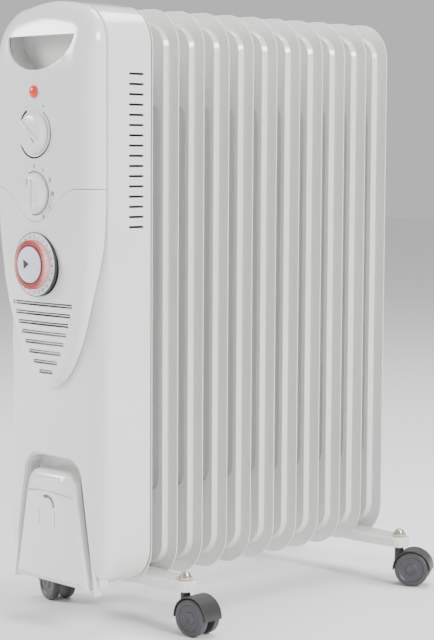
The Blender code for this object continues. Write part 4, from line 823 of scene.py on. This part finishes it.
class HEATER_OT_castors(bpy.types.Operator):
    """Build the hoods, wheels, stems and dome nuts of the castors"""
    bl_idname = "heater.castors"
    bl_label = "Castors"

    def execute(self, context):
        hood_line = arc(TRAIL, WHEEL_RADIUS, 0.0212, -4, 184, 36)
        inside = arc(TRAIL, WHEEL_RADIUS, 0.0198, 184, -4, 36)
        for name, (x, gap, turn) in CASTORS.items():
            y = FIRST_FIN_Y + gap * FIN_PITCH
            at = Matrix.Translation((x, y, 0)) @ Matrix.Rotation(math.radians(turn), 4, "Z")
            bm = loft([at_y(hood_line + inside, -0.0128), at_y(hood_line + inside, 0.0128)])
            web = arc(TRAIL, WHEEL_RADIUS, 0.0205, -4, 184, 36) + arc(
                TRAIL, WHEEL_RADIUS, 0.006, 200, 340, 10)
            middle = bmesh.new()
            rings = skin(middle, [at_y(web, -0.003), at_y(web, 0.003)])
            middle.faces.new(rings[0])
            middle.faces.new(rings[1])
            bmesh.ops.recalc_face_normals(middle, faces=middle.faces)
            data = bpy.data.meshes.new("web")
            middle.to_mesh(data)
            middle.free()
            bm.from_mesh(data)
            made = bmesh.ops.create_cone(bm, cap_ends=True, segments=32, radius1=0.005,
                                         radius2=0.005, depth=0.0167)["verts"]
            bmesh.ops.translate(bm, verts=made, vec=(0, 0, 0.03185))
            bmesh.ops.transform(bm, matrix=at, verts=bm.verts)
            place(f"castor_{name}_guard", bm, hood_plastic(), f"castor_{name}",
                  [f"castor_{name}_hood"], "castor_black", edge=0.0005)
            for label, half_turn in (("near", 0.0), ("far", math.pi)):
                spot = at @ Matrix.Translation((TRAIL, 0, WHEEL_RADIUS)) @ Matrix.Rotation(
                    half_turn, 4, "Z")
                wheel = turned([(0.0, 0.0128), (0.0035, 0.0128), (0.0045, 0.0134),
                                (0.0060, 0.0134), (0.0068, 0.0126), (0.0130, 0.0124),
                                (0.0140, 0.0133), (0.0168, 0.0134), (0.0182, 0.0129),
                                (0.0189, 0.0118), (0.0190, 0.0104), (0.0190, 0.0064),
                                (0.0184, 0.0054), (0.0018, 0.0054), (0.0018, 0.0110),
                                (0.0, 0.0110)], 64, spot)
                body = f"castor_{name}_wheel_{label}"
                place(body + "_tyred", wheel, wheel_plastic(), body, [body], "castor_grey")
            low = PLATE_TOP + 0.0003
            nut = bmesh.new()
            made = bmesh.ops.create_cone(nut, cap_ends=True, segments=6, radius1=0.0075,
                                         radius2=0.0075, depth=0.0032)["verts"]
            bmesh.ops.translate(nut, verts=made, vec=(x, y, low + 0.0016))
            bmesh.ops.bevel(nut, geom=nut.edges[:], offset=0.0004, segments=2, profile=0.5,
                            affect="EDGES", material=-1)
            dome = turned([(0.0, 0.0048), (0.0020, 0.0046), (0.0038, 0.0038), (0.0052, 0.0022),
                           (0.0056, 0.0), (0.0056, -0.001), (0.0, -0.001)], 32,
                          Matrix.Translation((x, y, low + 0.0032)) @ Matrix.Rotation(
                              -math.pi / 2, 4, "X"))
            data = bpy.data.meshes.new("dome")
            dome.to_mesh(data)
            dome.free()
            nut.from_mesh(data)
            place(f"castor_{name}_dome_nut", nut, nickel(), HEATER, [f"castor_{name}_nut"],
                  "nut_nickel")
        return {"FINISHED"}


class HEATER_OT_carried(bpy.types.Operator):
    """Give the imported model's own pieces their finishes"""
    bl_idname = "heater.carried"
    bl_label = "Carried pieces"

    def execute(self, context):
        looks = {"rear_plate": steel, "cord_recess": enamel, "handle_pocket": cover_plastic,
                 "foot_plate_front": enamel, "foot_plate_rear": enamel, "terminal_block":
                 cover_plastic, "heating_element": steel, "element_flange": steel,
                 "u_bolt_front": steel, "u_bolt_rear": steel}
        for name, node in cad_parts.items():
            make = looks.get(name, inner_black)
            if name.endswith("_stem") or name.endswith("_axle"):
                make = steel
            node.data.materials.clear() if not node.material_slots else None
            for holder in node.material_slots:
                holder.material = make()
        return {"FINISHED"}


class HEATER_OT_stage(bpy.types.Operator):
    """Set the floor, the lights and the camera"""
    bl_idname = "heater.stage"
    bl_label = "Stage"

    def execute(self, context):
        bm = bmesh.new()
        bmesh.ops.create_grid(bm, x_segments=1, y_segments=1, size=9.0)
        mesh = bpy.data.meshes.new("floor")
        bm.to_mesh(mesh)
        bm.free()
        mesh.materials.append(finish("floor_pale", (0.93, 0.93, 0.93), 0.98, 0.55, 0.05, 1.5, 60.0,
                                     0.02, 0.0))
        floor = bpy.data.objects.new("floor", mesh)
        context.scene.collection.objects.link(floor)
        world = bpy.data.worlds.new("studio")
        world.use_nodes = True
        world.node_tree.nodes["Background"].inputs[0].default_value = (0.97, 0.98, 1.0, 1)
        world.node_tree.nodes["Background"].inputs[1].default_value = 0.62
        context.scene.world = world
        for name, spot, power, size in (("key", (-1.9, -1.7, 1.5), settings().light, 0.9),
                                        ("side", (2.4, -0.1, 1.7), settings().light * 1.15, 0.8),
                                        ("top", (0.1, 0.9, 2.6), settings().light * 0.8, 1.3)):
            lamp = bpy.data.lights.new(name, "AREA")
            lamp.energy = power
            lamp.size = size
            holder = bpy.data.objects.new(name, lamp)
            holder.location = spot
            aim = Vector((0, 0, 0.3)) - Vector(spot)
            holder.rotation_euler = aim.to_track_quat("-Z", "Y").to_euler()
            context.scene.collection.objects.link(holder)
        view = bpy.data.cameras.new("view")
        view.lens = 103.37
        view.sensor_width = 36.0
        camera = bpy.data.objects.new("view", view)
        azimuth, pitch, roll = math.radians(45.56), math.radians(5.26), math.radians(0.311)
        forward = Vector((-math.sin(azimuth) * math.cos(pitch),
                          math.cos(azimuth) * math.cos(pitch), -math.sin(pitch)))
        right = forward.cross(Vector((0, 0, 1))).normalized()
        up = right.cross(forward)
        right, up = (right * math.cos(roll) + up * math.sin(roll),
                     up * math.cos(roll) - right * math.sin(roll))
        basis = Matrix((right, up, -forward)).transposed().to_4x4()
        basis.translation = (1.4164, -1.3634, 0.4805)
        camera.matrix_world = basis
        context.scene.collection.objects.link(camera)
        context.scene.camera = camera
        return {"FINISHED"}


STEPS = ("carried", "fins", "housing", "covers", "winder", "controls", "castors", "stage")


class HEATER_PT_build(bpy.types.Panel):
    """Lists the steps that build the heater"""
    bl_label = "Heater"
    bl_idname = "HEATER_PT_build"
    bl_space_type = "VIEW_3D"
    bl_region_type = "UI"
    bl_category = "Heater"

    def draw(self, context):
        for name in ("enamel", "plastic", "castor", "edge", "light"):
            self.layout.prop(context.scene.heater_settings, name)
        for step in STEPS:
            self.layout.operator("heater." + step)


CLASSES = (HeaterSettings, HEATER_OT_carried, HEATER_OT_fins, HEATER_OT_housing,
           HEATER_OT_covers, HEATER_OT_winder, HEATER_OT_controls, HEATER_OT_castors,
           HEATER_OT_stage, HEATER_PT_build)


def register():
    for item in CLASSES:
        bpy.utils.register_class(item)
    bpy.types.Scene.heater_settings = bpy.props.PointerProperty(type=HeaterSettings)


def unregister():
    del bpy.types.Scene.heater_settings
    for item in reversed(CLASSES):
        bpy.utils.unregister_class(item)


def main():
    register()
    for step in STEPS:
        getattr(bpy.ops.heater, step)()


if __name__ == "__main__":
    main()
